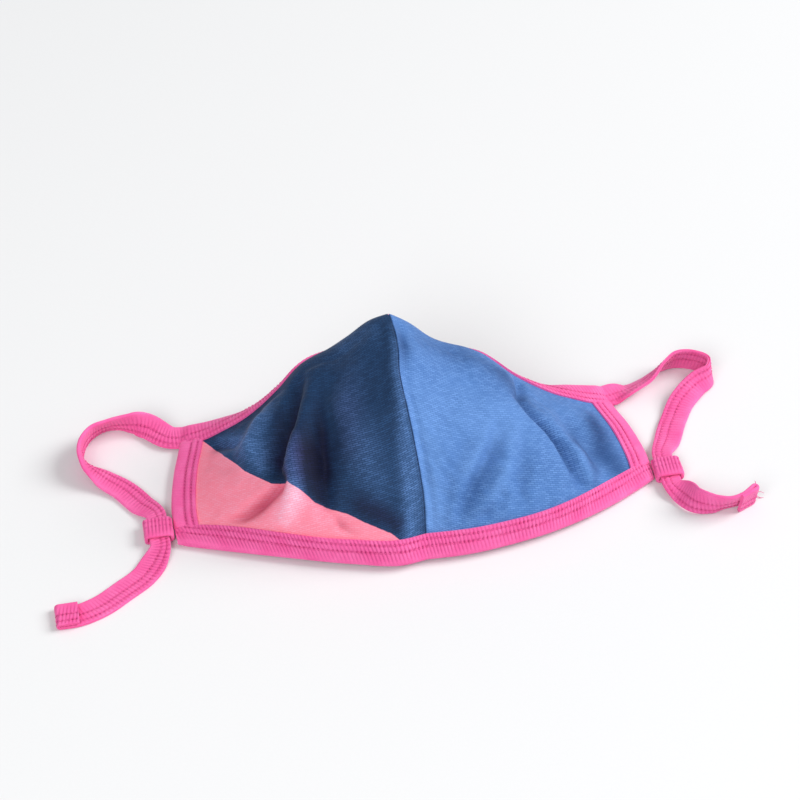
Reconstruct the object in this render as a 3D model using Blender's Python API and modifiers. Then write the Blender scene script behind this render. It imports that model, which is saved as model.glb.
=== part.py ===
# A two-panel cloth face mask lying face up, with tape bindings, ear loops and tape keepers.
# Metres, +Z up, +Y from the chin edge to the nose edge. Left and right are as seen from the chin
# edge, with the left side at -X.

import math

import bmesh
import bpy
import numpy as np
from mathutils import Matrix, Vector

# Driving sizes
HALF_WIDTH = 0.100      # from the middle seam to a bottom corner
DEPTH = 0.086           # from the chin point back to the nose point
HEIGHT = 0.062          # from the surface it lies on to the crest of the seam
CROWN = 0.0095          # how far a panel swells between its edges
FOLD_DEPTH = 0.0026     # the deepest fold of a panel
CLOTH = 0.0012          # panel cloth
TAPE = 0.0008           # one layer of binding tape
TAPE_WIDTH = 0.0108     # folded tape, as a binding and as a strap
GAP = 0.0003            # clearance between neighbours
LOOP_REACH = 0.034      # how far an ear loop stands out from the short side
TAIL_LENGTH = 0.052     # free tape past the keeper
HEM_LENGTH = 0.0075     # the end of the tape, folded back on itself
KEEPER_LENGTH = 0.0100  # keeper loop, along the strap
GATHER = 0.76           # width of the strap inside its keeper, as a share of its full width

STRAP = 2 * TAPE
LEG_OFFSET = CLOTH / 2 + GAP + TAPE / 2     # panel's middle to the middle of a binding leg
FOLD_RADIUS = LEG_OFFSET + TAPE / 2         # outside of the binding's folded edge
CLOTH_INSET = FOLD_RADIUS - GAP             # binding's folded edge to the panel's own edge

FOLD_MARGIN = 0.0119    # folds die out this far inside a panel's edges
KEEPER_BEND = 0.7       # corner radius of a keeper, as a share of half its height
LEAD_IN = 0.0036        # a strap runs on straight from its binding for this length

# Mesh counts, samples along a line, and the share stepped to feel a sheet's slope
PANEL_COLUMNS = 27
PANEL_ROWS = 23
FOLD_STEPS = 5
STRAP_STATIONS = 48
HEM_STEPS = 5
CORNER_STEPS = 4
LINE_SAMPLES = 121
LOOK_AHEAD = 1e-3

# Corners: share of HALF_WIDTH from the middle, of DEPTH behind the bottom corners' line, of HEIGHT
CORNERS = {
    "chin": (-0.018, -0.326, 0.030),
    "nose": (-0.015, 0.650, 0.780),
    "left_base": (-0.980, -0.020, 0.030),
    "left_top": (-0.890, 0.715, 0.055),
    "right_base": (0.980, -0.030, 0.030),
    "right_top": (0.895, 0.612, 0.055),
}

# Edges between two corners: share of the way along, then the same three shares as a corner
EDGES = {
    "seam": ("chin", "nose", [
        (0.090, -0.012, -0.256, 0.165),
        (0.190, -0.006, -0.180, 0.326),
        (0.375, -0.014, -0.023, 0.594),
        (0.530, -0.026, 0.128, 0.795),
        (0.660, -0.033, 0.279, 0.916),
        (0.745, -0.020, 0.384, 0.968),
        (0.840, -0.018, 0.500, 1.000),
        (0.920, -0.024, 0.605, 0.990),
    ]),
    "left_bottom": ("chin", "left_base", [
        (0.100, -0.115, -0.341, 0.030),
        (0.300, -0.310, -0.291, 0.032),
        (0.520, -0.513, -0.216, 0.032),
        (0.760, -0.750, -0.122, 0.030),
    ]),
    "right_bottom": ("chin", "right_base", [
        (0.130, 0.120, -0.331, 0.030),
        (0.350, 0.330, -0.308, 0.032),
        (0.560, 0.545, -0.256, 0.032),
        (0.800, 0.790, -0.150, 0.030),
    ]),
    "left_top_edge": ("nose", "left_top", [
        (0.120, -0.115, 0.652, 0.630),
        (0.250, -0.235, 0.649, 0.505),
        (0.390, -0.360, 0.654, 0.455),
        (0.530, -0.465, 0.649, 0.320),
        (0.690, -0.595, 0.666, 0.178),
        (0.840, -0.740, 0.696, 0.092),
    ]),
    "right_top_edge": ("nose", "right_top", [
        (0.120, 0.100, 0.639, 0.565),
        (0.250, 0.225, 0.614, 0.436),
        (0.390, 0.355, 0.594, 0.397),
        (0.530, 0.480, 0.574, 0.254),
        (0.690, 0.615, 0.565, 0.177),
        (0.840, 0.745, 0.573, 0.145),
    ]),
    "left_side": ("left_base", "left_top", [
        (0.280, -0.985, 0.180, 0.030),
        (0.560, -0.955, 0.400, 0.030),
        (0.820, -0.912, 0.590, 0.030),
    ]),
    "right_side": ("right_base", "right_top", [
        (0.280, 0.983, 0.140, 0.030),
        (0.560, 0.955, 0.330, 0.030),
        (0.820, 0.912, 0.500, 0.030),
    ]),
}

# Ear loops, from the top corner round to the keeper: how far out past the bottom corner as a share
# of LOOP_REACH, how far back as a share of DEPTH, and the roll in degrees; a strap lies flat at 0
# and stands on its inner edge at 90
LOOPS = {
    "left": [
        (0.110, 0.745, 45),
        (0.290, 0.763, 88),
        (0.580, 0.770, 112),
        (0.780, 0.730, 102),
        (0.905, 0.655, 92),
        (0.935, 0.580, 82),
        (0.860, 0.515, 48),
        (0.700, 0.455, 14),
        (0.480, 0.375, 2),
        (0.310, 0.275, 0),
    ],
    "right": [
        (0.010, 0.562, -28),
        (0.250, 0.598, -42),
        (0.500, 0.668, -66),
        (0.710, 0.702, -84),
        (0.930, 0.682, -92),
        (1.085, 0.625, -88),
        (1.065, 0.570, -72),
        (0.870, 0.525, -46),
        (0.640, 0.455, -14),
        (0.460, 0.350, 0),
        (0.280, 0.215, 0),
    ],
}

# Tails, from the keeper to the hemmed end: how far out and back from the keeper as shares of
# TAIL_LENGTH, and the roll in degrees
TAILS = {
    "left": [
        (0.068, -0.285, 0),
        (0.150, -0.398, 0),
        (0.320, -0.523, 0),
        (0.535, -0.656, 0),
        (0.700, -0.704, 0),
        (0.820, -0.705, 0),
    ],
    "right": [
        (0.052, -0.260, 26),
        (0.123, -0.410, 62),
        (0.244, -0.473, 92),
        (0.344, -0.479, 110),
        (0.446, -0.465, 108),
        (0.560, -0.414, 96),
    ],
}

# A strap lies straight and gathered at these places along its keeper, as shares of KEEPER_LENGTH
STRAIGHT = (0.8, 0.5, 0.0, -0.5, -0.8)

# Keepers: how far back they sit, as a share of DEPTH
KEEPER_BACK = {"left": 0.073, "right": 0.012}

# Length of the cloth along the seam and along a short side, as shares of DEPTH
SEAM_SPAN = 1.35
SIDE_SPAN = 0.72

# Crown of a panel: share across or up, then share of CROWN
CROWN_ACROSS = [(0.0, 0.0), (0.22, 0.72), (0.5, 1.0), (0.78, 0.40), (0.9, 0.02), (1.0, 0.0)]
CROWN_UP = [(0.0, 0.0), (0.2, 0.72), (0.42, 1.0), (0.68, 0.74), (0.86, 0.42), (1.0, 0.0)]

# Brow: the cloth's bulge over the binding of the nose edge, in the same shares of CROWN
BROW_ACROSS = {
    "left": [(0.0, 0.0), (0.06, 0.304), (0.16, 0.331), (0.28, 0.270), (0.42, 0.030), (0.56, -0.080),
             (0.72, -0.100), (1.0, 0.0)],
    "right": [(0.0, 0.0), (0.06, 0.197), (0.16, 0.175), (0.28, 0.296), (0.42, 0.013), (0.56, -0.092),
              (0.72, -0.134), (1.0, 0.0)],
}
BROW_UP = [(0.0, 0.0), (0.5, 0.0), (0.70, 0.5), (0.84, 1.0), (0.93, 0.85), (1.0, 0.0)]

# Folds of a panel: start and end as shares across (seam to side) and up (chin edge to nose edge),
# half width as a share of TAPE_WIDTH, height as a share of FOLD_DEPTH, below zero for a valley
FOLDS = {
    "left": [
        (0.420, 0.790, 0.450, 0.620, 0.40, -0.60),
        (0.450, 0.620, 0.530, 0.440, 0.50, -1.00),
        (0.575, 0.740, 0.635, 0.595, 0.80, 0.45),
        (0.420, 0.500, 0.455, 0.330, 0.60, 0.50),
        (0.455, 0.330, 0.550, 0.200, 0.50, 0.50),
        (0.345, 0.570, 0.370, 0.260, 0.50, -0.50),
        (0.535, 0.350, 0.640, 0.265, 0.38, -0.85),
        (0.640, 0.265, 0.800, 0.190, 0.38, -0.60),
        (0.830, 0.740, 0.705, 0.685, 0.50, -0.40),
    ],
    "right": [
        (0.365, 0.520, 0.290, 0.405, 0.42, -0.60),
        (0.290, 0.405, 0.150, 0.210, 0.38, -1.00),
        (0.255, 0.510, 0.090, 0.295, 0.40, -0.30),
        (0.440, 0.520, 0.380, 0.210, 0.40, -0.30),
        (0.515, 0.825, 0.450, 0.650, 0.36, -0.50),
        (0.480, 0.580, 0.570, 0.465, 0.36, -0.80),
        (0.570, 0.465, 0.650, 0.190, 0.42, -0.90),
        (0.695, 0.550, 0.800, 0.220, 0.70, -0.55),
    ],
}


def lengths(shares):
    """Turns shares of the three main sizes into metres."""
    return np.asarray(shares, dtype=float) * (HALF_WIDTH, DEPTH, HEIGHT)


def smooth(rows, at):
    """Reads a table at the shares `at`: a cubic through its rows, with slopes from their neighbours."""
    table = np.asarray(rows, dtype=float)
    share, value = table[:, 0], table[:, 1:]
    slope = np.gradient(value, share, axis=0)
    at = np.asarray(at, dtype=float)
    k = np.clip(np.searchsorted(share, at, side="right") - 1, 0, len(share) - 2)
    step = (share[k + 1] - share[k])[..., None]
    s = (at[..., None] - share[k][..., None]) / step
    return ((1 + 2 * s) * (1 - s) ** 2 * value[k] + s * (1 - s) ** 2 * step * slope[k]
            + s * s * (3 - 2 * s) * value[k + 1] + s * s * (s - 1) * step * slope[k + 1])


def edge(name, at):
    """A point of a named edge of the mask, at a share of the way along it."""
    start, end, rows = EDGES[name]
    table = [(0.0, *CORNERS[start]), *rows, (1.0, *CORNERS[end])]
    return lengths(smooth(table, at))


def unit(vectors):
    """Vectors of length one."""
    return vectors / np.linalg.norm(vectors, axis=-1, keepdims=True)


def frame_patch(side, u, v):
    """The sheet spanned by a panel's four edges: u from the seam to the side, v from chin to nose."""
    seam, out = edge("seam", v), edge(side + "_side", v)
    bottom, top = edge(side + "_bottom", u), edge(side + "_top_edge", u)
    chin, nose = lengths(CORNERS["chin"]), lengths(CORNERS["nose"])
    base, peak = lengths(CORNERS[side + "_base"]), lengths(CORNERS[side + "_top"])
    u, v = u[..., None], v[..., None]
    corners = (1 - u) * (1 - v) * chin + (1 - u) * v * nose + u * (1 - v) * base + u * v * peak
    return (1 - u) * seam + u * out + (1 - v) * bottom + v * top - corners


def outward(side, sheet, u, v):
    """Unit normals of a sheet, pointing away from the face, from two small steps on it."""
    step = LOOK_AHEAD
    u0, u1 = np.clip(u - step, 0, 1), np.clip(u + step, 0, 1)
    v0, v1 = np.clip(v - step, 0, 1), np.clip(v + step, 0, 1)
    across = sheet(side, u1, v) - sheet(side, u0, v)
    along = sheet(side, u, v1) - sheet(side, u, v0)
    normal = unit(np.cross(across, along))
    return normal if side == "right" else -normal


def swell(side, u, v):
    """How far a panel stands out from its edges' sheet: crown, brow, and folds between the tapes."""
    rise = smooth(CROWN_ACROSS, u)[..., 0] * smooth(CROWN_UP, v)[..., 0]
    rise = CROWN * (rise + smooth(BROW_ACROSS[side], u)[..., 0] * smooth(BROW_UP, v)[..., 0])
    span = DEPTH * (SEAM_SPAN + (SIDE_SPAN - SEAM_SPAN) * u)
    inward = np.minimum((1 - u) * HALF_WIDTH, np.minimum(v, 1 - v) * span)
    ease = np.clip((inward - FOLD_MARGIN) / TAPE_WIDTH, 0, 1)
    for u0, v0, u1, v1, half_width, height in FOLDS[side]:
        run = np.array(((u1 - u0) * HALF_WIDTH, (v1 - v0) * DEPTH))
        offset = np.stack(((u - u0) * HALF_WIDTH, (v - v0) * DEPTH), -1)
        share = np.clip(offset @ run / (run @ run), 0, 1)
        away = np.linalg.norm(offset - share[..., None] * run, axis=-1)
        spread = half_width * TAPE_WIDTH
        rise = rise + ease * height * FOLD_DEPTH * np.exp(-(away / spread) ** 2)
    return rise


def panel_sheet(side, u, v):
    """The middle of a panel's cloth."""
    base = frame_patch(side, u, v)
    return base + swell(side, u, v)[..., None] * outward(side, frame_patch, u, v)


def walk(side, fixed, distances, across):
    """Shares at which a line of the panel has run the given distances from its start.

    Below zero a distance counts back from the far end. The line runs along v at u = fixed, or
    along u at v = fixed when across is true.
    """
    share = np.linspace(0, 1, LINE_SAMPLES)
    same = np.full_like(share, fixed)
    line = panel_sheet(side, share, same) if across else panel_sheet(side, same, share)
    run = np.concatenate(([0], np.cumsum(np.linalg.norm(np.diff(line, axis=0), axis=1))))
    wanted = np.where(distances < 0, run[-1] + distances, distances)
    return np.interp(wanted, run, share)


def strip_stations(side, fixed, count, across):
    """Shares of a panel's grid lines: close lines inside each binding and even ones between."""
    inside = np.array((CLOTH_INSET, TAPE_WIDTH / 2, TAPE_WIDTH + GAP))
    if across:
        near, far = np.array((0.0,)), walk(side, fixed, -inside[::-1], True)
    else:
        near, far = walk(side, fixed, inside, False), walk(side, fixed, -inside[::-1], False)
    middle = np.linspace(near[-1], far[0], count - len(near) - len(far) + 2)[1:-1]
    return np.concatenate((near, middle, far))


def panel_shares(side):
    """The u and v of every node of a panel's grid, columns first."""
    u = np.tile(strip_stations(side, 0.5, PANEL_COLUMNS, True)[:, None], (1, PANEL_ROWS))
    v = np.empty_like(u)
    for repeat in range(2):
        for i in range(PANEL_COLUMNS):
            v[i] = strip_stations(side, u[i, PANEL_ROWS // 2], PANEL_ROWS, False)
        for j in range(PANEL_ROWS):
            u[:, j] = strip_stations(side, v[-1, j], PANEL_COLUMNS, True)
    return u, v


def material(name, colour, roughness):
    """A plain cloth material."""
    made = bpy.data.materials.new(name)
    made.use_nodes = True
    shader = made.node_tree.nodes["Principled BSDF"]
    shader.inputs["Base Color"].default_value = (*colour, 1.0)
    shader.inputs["Roughness"].default_value = roughness
    shader.inputs["Metallic"].default_value = 0.0
    return made


def add_object(name, vertices, faces, finish, collection):
    """A mesh object from its vertices and faces, facing out, shaded smooth."""
    mesh = bpy.data.meshes.new(name)
    mesh.from_pydata([tuple(map(float, p)) for p in vertices], [], faces)
    build = bmesh.new()
    build.from_mesh(mesh)
    bmesh.ops.recalc_face_normals(build, faces=build.faces)
    build.to_mesh(mesh)
    build.free()
    mesh.shade_smooth()
    made = bpy.data.objects.new(name, mesh)
    made.data.materials.append(finish)
    collection.objects.link(made)
    return made


def grid_faces(rows, columns, closed=False, first=0):
    """Quads of a grid of rows by columns; closed joins its last column to its first."""
    turns = columns if closed else columns - 1
    quads = []
    for i in range(rows - 1):
        for j in range(turns):
            a, b = i * columns + j, i * columns + (j + 1) % columns
            quads.append((first + a, first + b, first + b + columns, first + a + columns))
    return quads


def add_sheet(name, grid, thickness, finish, collection, closed=False):
    """A grid of points thickened evenly to both sides by Solidify."""
    rows, columns = grid.shape[:2]
    made = add_object(name, grid.reshape(-1, 3), grid_faces(rows, columns, closed), finish, collection)
    shell = made.modifiers.new("Thickness", "SOLIDIFY")
    shell.thickness = thickness
    shell.offset = 0.0
    shell.use_even_offset = True
    return made


def seam_normals(v):
    """The seam's mean normal and the stretch that keeps both panels' walls full there."""
    zero = np.zeros_like(v)
    left = outward("left", panel_sheet, zero, v)
    right = outward("right", panel_sheet, zero, v)
    mean = unit(left + right)
    return mean, 1 / np.sum(mean * right, axis=-1)


def add_panel(side, finish, collection):
    """One half of the mask: a wall between two like grids, mitred where it meets the other half."""
    sign = -1 if side == "left" else 1
    u, v = panel_shares(side)
    middle = panel_sheet(side, u, v)
    normal = outward(side, panel_sheet, u, v)
    mean, stretch = seam_normals(v[0])
    away = unit(np.cross(np.gradient(middle[0], axis=0), mean)) * GAP / 2
    away = away * np.sign(away[:, :1]) * sign
    middle[0] += away
    normal[0] = mean * stretch[:, None]
    outer = (middle + normal * CLOTH / 2).reshape(-1, 3)
    inner = (middle - normal * CLOTH / 2).reshape(-1, 3)
    count = len(outer)
    rim = [i * PANEL_ROWS for i in range(PANEL_COLUMNS)]
    rim += [(PANEL_COLUMNS - 1) * PANEL_ROWS + j for j in range(1, PANEL_ROWS)]
    rim += [i * PANEL_ROWS + PANEL_ROWS - 1 for i in range(PANEL_COLUMNS - 2, -1, -1)]
    rim += list(range(PANEL_ROWS - 2, 0, -1))
    faces = grid_faces(PANEL_COLUMNS, PANEL_ROWS)
    faces += grid_faces(PANEL_COLUMNS, PANEL_ROWS, first=count)
    faces += [(a, b, b + count, a + count) for a, b in zip(rim, rim[1:] + rim[:1])]
    return add_object(side + "_panel", np.vstack((outer, inner)), faces, finish, collection)


def tape_profile():
    """Middle of a tape folded over an edge: distance in from the edge, and height off the cloth."""
    arc = np.linspace(0, math.pi, FOLD_STEPS)
    fold = np.stack((FOLD_RADIUS - LEG_OFFSET * np.sin(arc), LEG_OFFSET * np.cos(arc)), -1)
    upper = np.array(((TAPE_WIDTH, LEG_OFFSET + GAP / 2), (TAPE_WIDTH / 2, LEG_OFFSET)))
    return np.vstack((upper, fold, upper[::-1] * (1, -1)))


def wrap(side, u, v, inward, mean=None):
    """Tape folded over one edge: its profile carried on the panel at stations of shares u and v.

    u and v hold, for each station, the shares at the fold's centre, half way in and at the tape's
    inner edge. mean marks the stations on the seam and gives their normals.
    """
    spots = panel_sheet(side, u, v)
    normals = outward(side, panel_sheet, u, v)
    if mean is not None:
        normals = np.where(mean[0][:, None, None], mean[1], normals)
    rows = []
    for reach, height in tape_profile():
        column = 2 if reach >= TAPE_WIDTH else 1 if reach >= TAPE_WIDTH / 2 else 0
        place = spots[:, column] + normals[:, column] * height
        if column == 0:
            place = place + inward * (reach - FOLD_RADIUS)
        rows.append(place)
    return np.stack(rows, 1)


def long_binding(name, far, finish, collection):
    """The tape over the whole chin edge, or over the whole nose edge when far is true."""
    steps = np.array((FOLD_RADIUS, TAPE_WIDTH / 2, TAPE_WIDTH))
    halves = []
    for side in ("left", "right"):
        grid_u, _ = panel_shares(side)
        u = np.append(grid_u[:, -1 if far else 0], 1.0)
        v = np.array([walk(side, share, -steps if far else steps, False) for share in u])
        u = np.tile(u[:, None], (1, 3))
        rim = panel_sheet(side, u[:, 0], np.full(len(u), 1.0 if far else 0.0))
        inward = unit(panel_sheet(side, u[:, 0], v[:, 0]) - rim)
        seam, stretch = seam_normals(v[0])
        first = np.arange(len(u)) == 0
        halves.append(wrap(side, u, v, inward, (first, seam * stretch[:, None])))
    return add_sheet(name, np.vstack((halves[0][::-1], halves[1][1:])), TAPE, finish, collection)


def side_binding(side, finish, collection):
    """The tape over one short side, between the two long bindings."""
    steps = np.array((FOLD_RADIUS, TAPE_WIDTH / 2, TAPE_WIDTH))
    _, grid_v = panel_shares(side)
    v = grid_v[-1, 2:-2]
    u = np.array([walk(side, share, -steps, True) for share in v])
    v = np.tile(v[:, None], (1, 3))
    rim = panel_sheet(side, np.ones(len(v)), v[:, 0])
    inward = unit(panel_sheet(side, u[:, 0], v[:, 0]) - rim)
    return add_sheet(side + "_side_binding", wrap(side, u, v, inward), TAPE, finish, collection)


def keeper_middle(side):
    """The middle of a keeper's strap space: beside the bottom corner, off the surface by its wall."""
    sign = -1 if side == "left" else 1
    back = KEEPER_BACK[side] * DEPTH
    ends = np.array((back - KEEPER_LENGTH / 2, back + KEEPER_LENGTH / 2))
    along = np.linspace(0, 1, LINE_SAMPLES)
    rim = edge(side + "_side", along)
    beside = sign * np.interp(ends, rim[:, 1], rim[:, 0])
    out = beside.max() + GAP + STRAP + GAP + GATHER * TAPE_WIDTH / 2
    return np.array((sign * out, back, STRAP + GAP + STRAP / 2))


def strap_start(side):
    """Where a strap leaves the top corner: middle, direction and roll of the binding's end."""
    v = walk(side, 1.0, np.array((-TAPE_WIDTH, -TAPE_WIDTH / 2)), False)
    inner, middle = panel_sheet(side, np.ones(2), v)
    corner = panel_sheet(side, np.array((1.0,)), np.array((1.0,)))[0]
    width = unit(corner - inner)
    heading = unit(np.cross(width, (0, 0, 1)))
    if side == "left":
        heading = -heading
    return middle + heading * 2 * GAP, heading, math.degrees(math.asin(width[2]))


def rest_height(roll):
    """Height of a strap's middle when its lowest side touches the surface, for a roll in degrees."""
    lean = np.radians(roll)
    return (TAPE_WIDTH / 2 + GAP) * np.abs(np.sin(lean)) + STRAP / 2 * np.abs(np.cos(lean))


def strap_route(side):
    """Points of a strap's middle line with roll and width: loop, keeper, tail."""
    sign = -1 if side == "left" else 1
    start, heading, roll = strap_start(side)
    rows = [(*start, roll, TAPE_WIDTH), (*(start + heading * LEAD_IN), roll, TAPE_WIDTH)]
    for out, back, roll in LOOPS[side]:
        x = sign * (HALF_WIDTH + out * LOOP_REACH)
        rows.append((x, back * DEPTH, rest_height(roll), roll, TAPE_WIDTH))
    middle = keeper_middle(side)
    for step in STRAIGHT:
        rows.append((*(middle + (0, step * KEEPER_LENGTH, 0)), 0, GATHER * TAPE_WIDTH))
    for out, back, roll in TAILS[side]:
        x, y = middle[0] + sign * out * TAIL_LENGTH, middle[1] + back * TAIL_LENGTH
        rows.append((x, y, rest_height(roll), roll, TAPE_WIDTH))
    return np.array(rows)


def ribbon_frame(line, roll, sign):
    """For each point of a line: its direction, its width direction and its face normal."""
    heading = unit(np.gradient(line, axis=0))
    level = unit(np.cross(heading, (0, 0, 1))) * -sign
    above = np.cross(heading, level) * sign
    lean = np.radians(roll)[:, None]
    width = np.cos(lean) * level + np.sin(lean) * above
    return heading, width, np.cross(heading, width) * sign


def add_strap(side, finish, collection):
    """One ear strap: a folded tape through its keeper, its end turned back on itself as a hem."""
    sign = -1 if side == "left" else 1
    route = strap_route(side)
    run = np.concatenate(([0], np.cumsum(np.linalg.norm(np.diff(route[:, :3], axis=0), axis=1))))
    read = smooth(np.column_stack((run, route)), np.linspace(0, run[-1], STRAP_STATIONS))
    line, roll, wide = read[:, :3], read[:, 3], read[:, 4]
    line[:, 2] = np.maximum(line[:, 2], rest_height(roll))
    heading, width, normal = ribbon_frame(line, roll, sign)
    turn = (STRAP + GAP) / 2
    arc = np.linspace(0, math.pi, HEM_STEPS)[1:, None]
    lift = normal[-1] * turn
    end = line[-1] + heading[-1] * turn * np.sin(arc) + lift * (1 - np.cos(arc))
    back = end[-1] - heading[-1] * HEM_LENGTH
    line = np.vstack((line, end, back))
    wide = np.append(wide, np.full(HEM_STEPS, wide[-1]))
    width = np.vstack((width, np.tile(width[-1], (HEM_STEPS, 1))))
    across = np.array((-0.5, 0.0, 0.5))[None, :, None]
    grid = line[:, None] + width[:, None] * wide[:, None, None] * across
    return add_sheet(side + "_ear_strap", grid, STRAP, finish, collection)


def add_keeper(side, finish, collection):
    """One keeper: a flat tape ring round the strap, beside the bottom corner."""
    middle = keeper_middle(side)
    half = np.array((GATHER * TAPE_WIDTH / 2, STRAP / 2)) + GAP + STRAP / 2
    bend = half[1] * KEEPER_BEND
    quarter = np.linspace(0, math.pi / 2, CORNER_STEPS)
    ring = []
    for x_sign, z_sign, start in ((1, 1, 0), (-1, 1, 1), (-1, -1, 2), (1, -1, 3)):
        angle = quarter + start * math.pi / 2
        ring.append(np.stack((x_sign * (half[0] - bend) + bend * np.cos(angle),
                              z_sign * (half[1] - bend) + bend * np.sin(angle)), -1))
    ring = np.vstack(ring)
    length = np.array((-0.5, 0.0, 0.5)) * KEEPER_LENGTH
    grid = np.empty((3, len(ring), 3))
    grid[..., 0] = middle[0] + ring[:, 0]
    grid[..., 1] = middle[1] + length[:, None]
    grid[..., 2] = middle[2] + ring[:, 1]
    return add_sheet(side + "_keeper", grid, STRAP, finish, collection, closed=True)


def settle(collection):
    """Moves every mesh so that the origin is under the middle of the whole, on the surface it lies on."""
    bpy.context.view_layer.update()
    graph = bpy.context.evaluated_depsgraph_get()
    corners = np.array([Vector(corner) for piece in collection.objects
                        for corner in piece.evaluated_get(graph).bound_box])
    low, high = corners.min(axis=0), corners.max(axis=0)
    shift = Vector((-(low[0] + high[0]) / 2, -(low[1] + high[1]) / 2, -low[2]))
    for piece in collection.objects:
        piece.data.transform(Matrix.Translation(shift))


def main():
    for leftover in list(bpy.data.objects):
        bpy.data.objects.remove(leftover)
    collection = bpy.data.collections.new("cloth_face_mask")
    bpy.context.scene.collection.children.link(collection)
    blue = material("blue_knit", (0.09, 0.19, 0.48), 0.8)
    pink = material("pink_tape", (0.87, 0.09, 0.32), 0.85)
    for side in ("left", "right"):
        add_panel(side, blue, collection)
        side_binding(side, pink, collection)
        add_strap(side, pink, collection)
        add_keeper(side, pink, collection)
    long_binding("bottom_binding", False, pink, collection)
    long_binding("top_binding", True, pink, collection)
    settle(collection)


main()
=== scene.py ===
# Cloth face mask lying face up: two knitted panels, pink tape bindings, ear straps in tape keepers.
# Left and right are as seen from the chin edge, with the left side at -X. Lengths are in
# metres where no note says millimetres.
import math

import bpy
import numpy as np
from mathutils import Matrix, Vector


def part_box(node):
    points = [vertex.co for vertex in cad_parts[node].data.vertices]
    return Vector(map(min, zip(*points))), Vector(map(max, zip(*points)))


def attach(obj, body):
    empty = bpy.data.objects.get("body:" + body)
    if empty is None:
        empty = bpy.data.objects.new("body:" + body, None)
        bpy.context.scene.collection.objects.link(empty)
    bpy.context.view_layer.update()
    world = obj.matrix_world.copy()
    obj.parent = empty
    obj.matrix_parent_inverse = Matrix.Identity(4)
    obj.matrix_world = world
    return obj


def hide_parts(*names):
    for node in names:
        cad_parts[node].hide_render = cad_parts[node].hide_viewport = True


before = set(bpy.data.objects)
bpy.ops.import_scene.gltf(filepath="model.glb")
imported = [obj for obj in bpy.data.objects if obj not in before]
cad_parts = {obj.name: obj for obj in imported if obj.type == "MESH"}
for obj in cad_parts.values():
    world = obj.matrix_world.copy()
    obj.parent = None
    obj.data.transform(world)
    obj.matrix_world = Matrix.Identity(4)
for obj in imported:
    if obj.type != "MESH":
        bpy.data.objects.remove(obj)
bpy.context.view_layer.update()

print("frame loaded,", len(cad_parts), "nodes")

mask = {
    "halfWidth": 0.100,     # middle seam to a bottom corner
    "depth": 0.086,         # chin point back to the nose point
    "height": 0.062,        # the surface it lies on to the crest of the seam
    "crown": 0.0095,        # how far a panel swells between its edges
    "seamSpan": 1.35,       # cloth along the seam, in depths
    "sideSpan": 0.72,       # cloth along a short side, in depths
    "cloth": 0.0012,        # panel cloth
    "gap": 0.0003,          # clearance between neighbours
    "lookAhead": 1e-3,      # share stepped to feel a sheet's slope
}

tape = {
    "layer": 0.0008,        # one layer of tape
    "width": 0.0108,        # folded tape
    "step": 0.00024,        # spacing of stations along a tape
    "rows": (0.0058, 0.0088),   # the two stitch rows, in from the folded edge
    "rowWidth": 0.00048,    # half width of a stitch row's groove
    "ribPitch": 0.00148,    # one rib of the knit
    "stitchPitch": 0.00185,     # one stitch
}
strapThickness = 2 * tape["layer"]
legOffset = mask["cloth"] / 2 + mask["gap"] + tape["layer"] / 2
foldRadius = legOffset + tape["layer"] / 2
clothInset = foldRadius - mask["gap"]

# Corners: shares of halfWidth from the middle, of depth behind the bottom corners, of height
corners = {
    "chin": (-0.018, -0.326, 0.030),
    "nose": (-0.015, 0.650, 0.780),
    "left_base": (-0.980, -0.020, 0.030),
    "left_top": (-0.890, 0.715, 0.055),
    "right_base": (0.980, -0.030, 0.030),
    "right_top": (0.895, 0.612, 0.055),
}

# Edges between two corners: share of the way along, then the same three shares as a corner
edges = {
    "seam": ("chin", "nose", [
        (0.090, -0.012, -0.256, 0.165), (0.190, -0.006, -0.180, 0.326),
        (0.375, -0.014, -0.023, 0.594), (0.530, -0.026, 0.128, 0.795),
        (0.660, -0.033, 0.279, 0.916), (0.745, -0.020, 0.384, 0.968),
        (0.840, -0.018, 0.500, 1.000), (0.920, -0.024, 0.605, 0.990)]),
    "left_bottom": ("chin", "left_base", [
        (0.100, -0.115, -0.341, 0.030), (0.300, -0.310, -0.291, 0.032),
        (0.520, -0.513, -0.216, 0.032), (0.760, -0.750, -0.122, 0.030)]),
    "right_bottom": ("chin", "right_base", [
        (0.130, 0.120, -0.331, 0.030), (0.350, 0.330, -0.308, 0.032),
        (0.560, 0.545, -0.256, 0.032), (0.800, 0.790, -0.150, 0.030)]),
    "left_top_edge": ("nose", "left_top", [
        (0.120, -0.115, 0.652, 0.630), (0.250, -0.235, 0.649, 0.505),
        (0.390, -0.360, 0.654, 0.455), (0.530, -0.465, 0.649, 0.320),
        (0.690, -0.595, 0.666, 0.178), (0.840, -0.740, 0.696, 0.092)]),
    "right_top_edge": ("nose", "right_top", [
        (0.120, 0.100, 0.639, 0.565), (0.250, 0.225, 0.614, 0.436),
        (0.390, 0.355, 0.594, 0.397), (0.530, 0.480, 0.574, 0.254),
        (0.690, 0.615, 0.565, 0.177), (0.840, 0.745, 0.573, 0.145)]),
    "left_side": ("left_base", "left_top", [
        (0.280, -0.985, 0.180, 0.030), (0.560, -0.955, 0.400, 0.030),
        (0.820, -0.912, 0.590, 0.030)]),
    "right_side": ("right_base", "right_top", [
        (0.280, 0.983, 0.140, 0.030), (0.560, 0.955, 0.330, 0.030),
        (0.820, 0.912, 0.500, 0.030)]),
}

# Crown of a panel: share across or up, then share of the crown's height
crownAcross = [(0.0, 0.0), (0.22, 0.72), (0.5, 1.0), (0.78, 0.40), (0.9, 0.02), (1.0, 0.0)]
crownUp = [(0.0, 0.0), (0.2, 0.72), (0.42, 1.0), (0.68, 0.74), (0.86, 0.42), (1.0, 0.0)]

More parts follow.
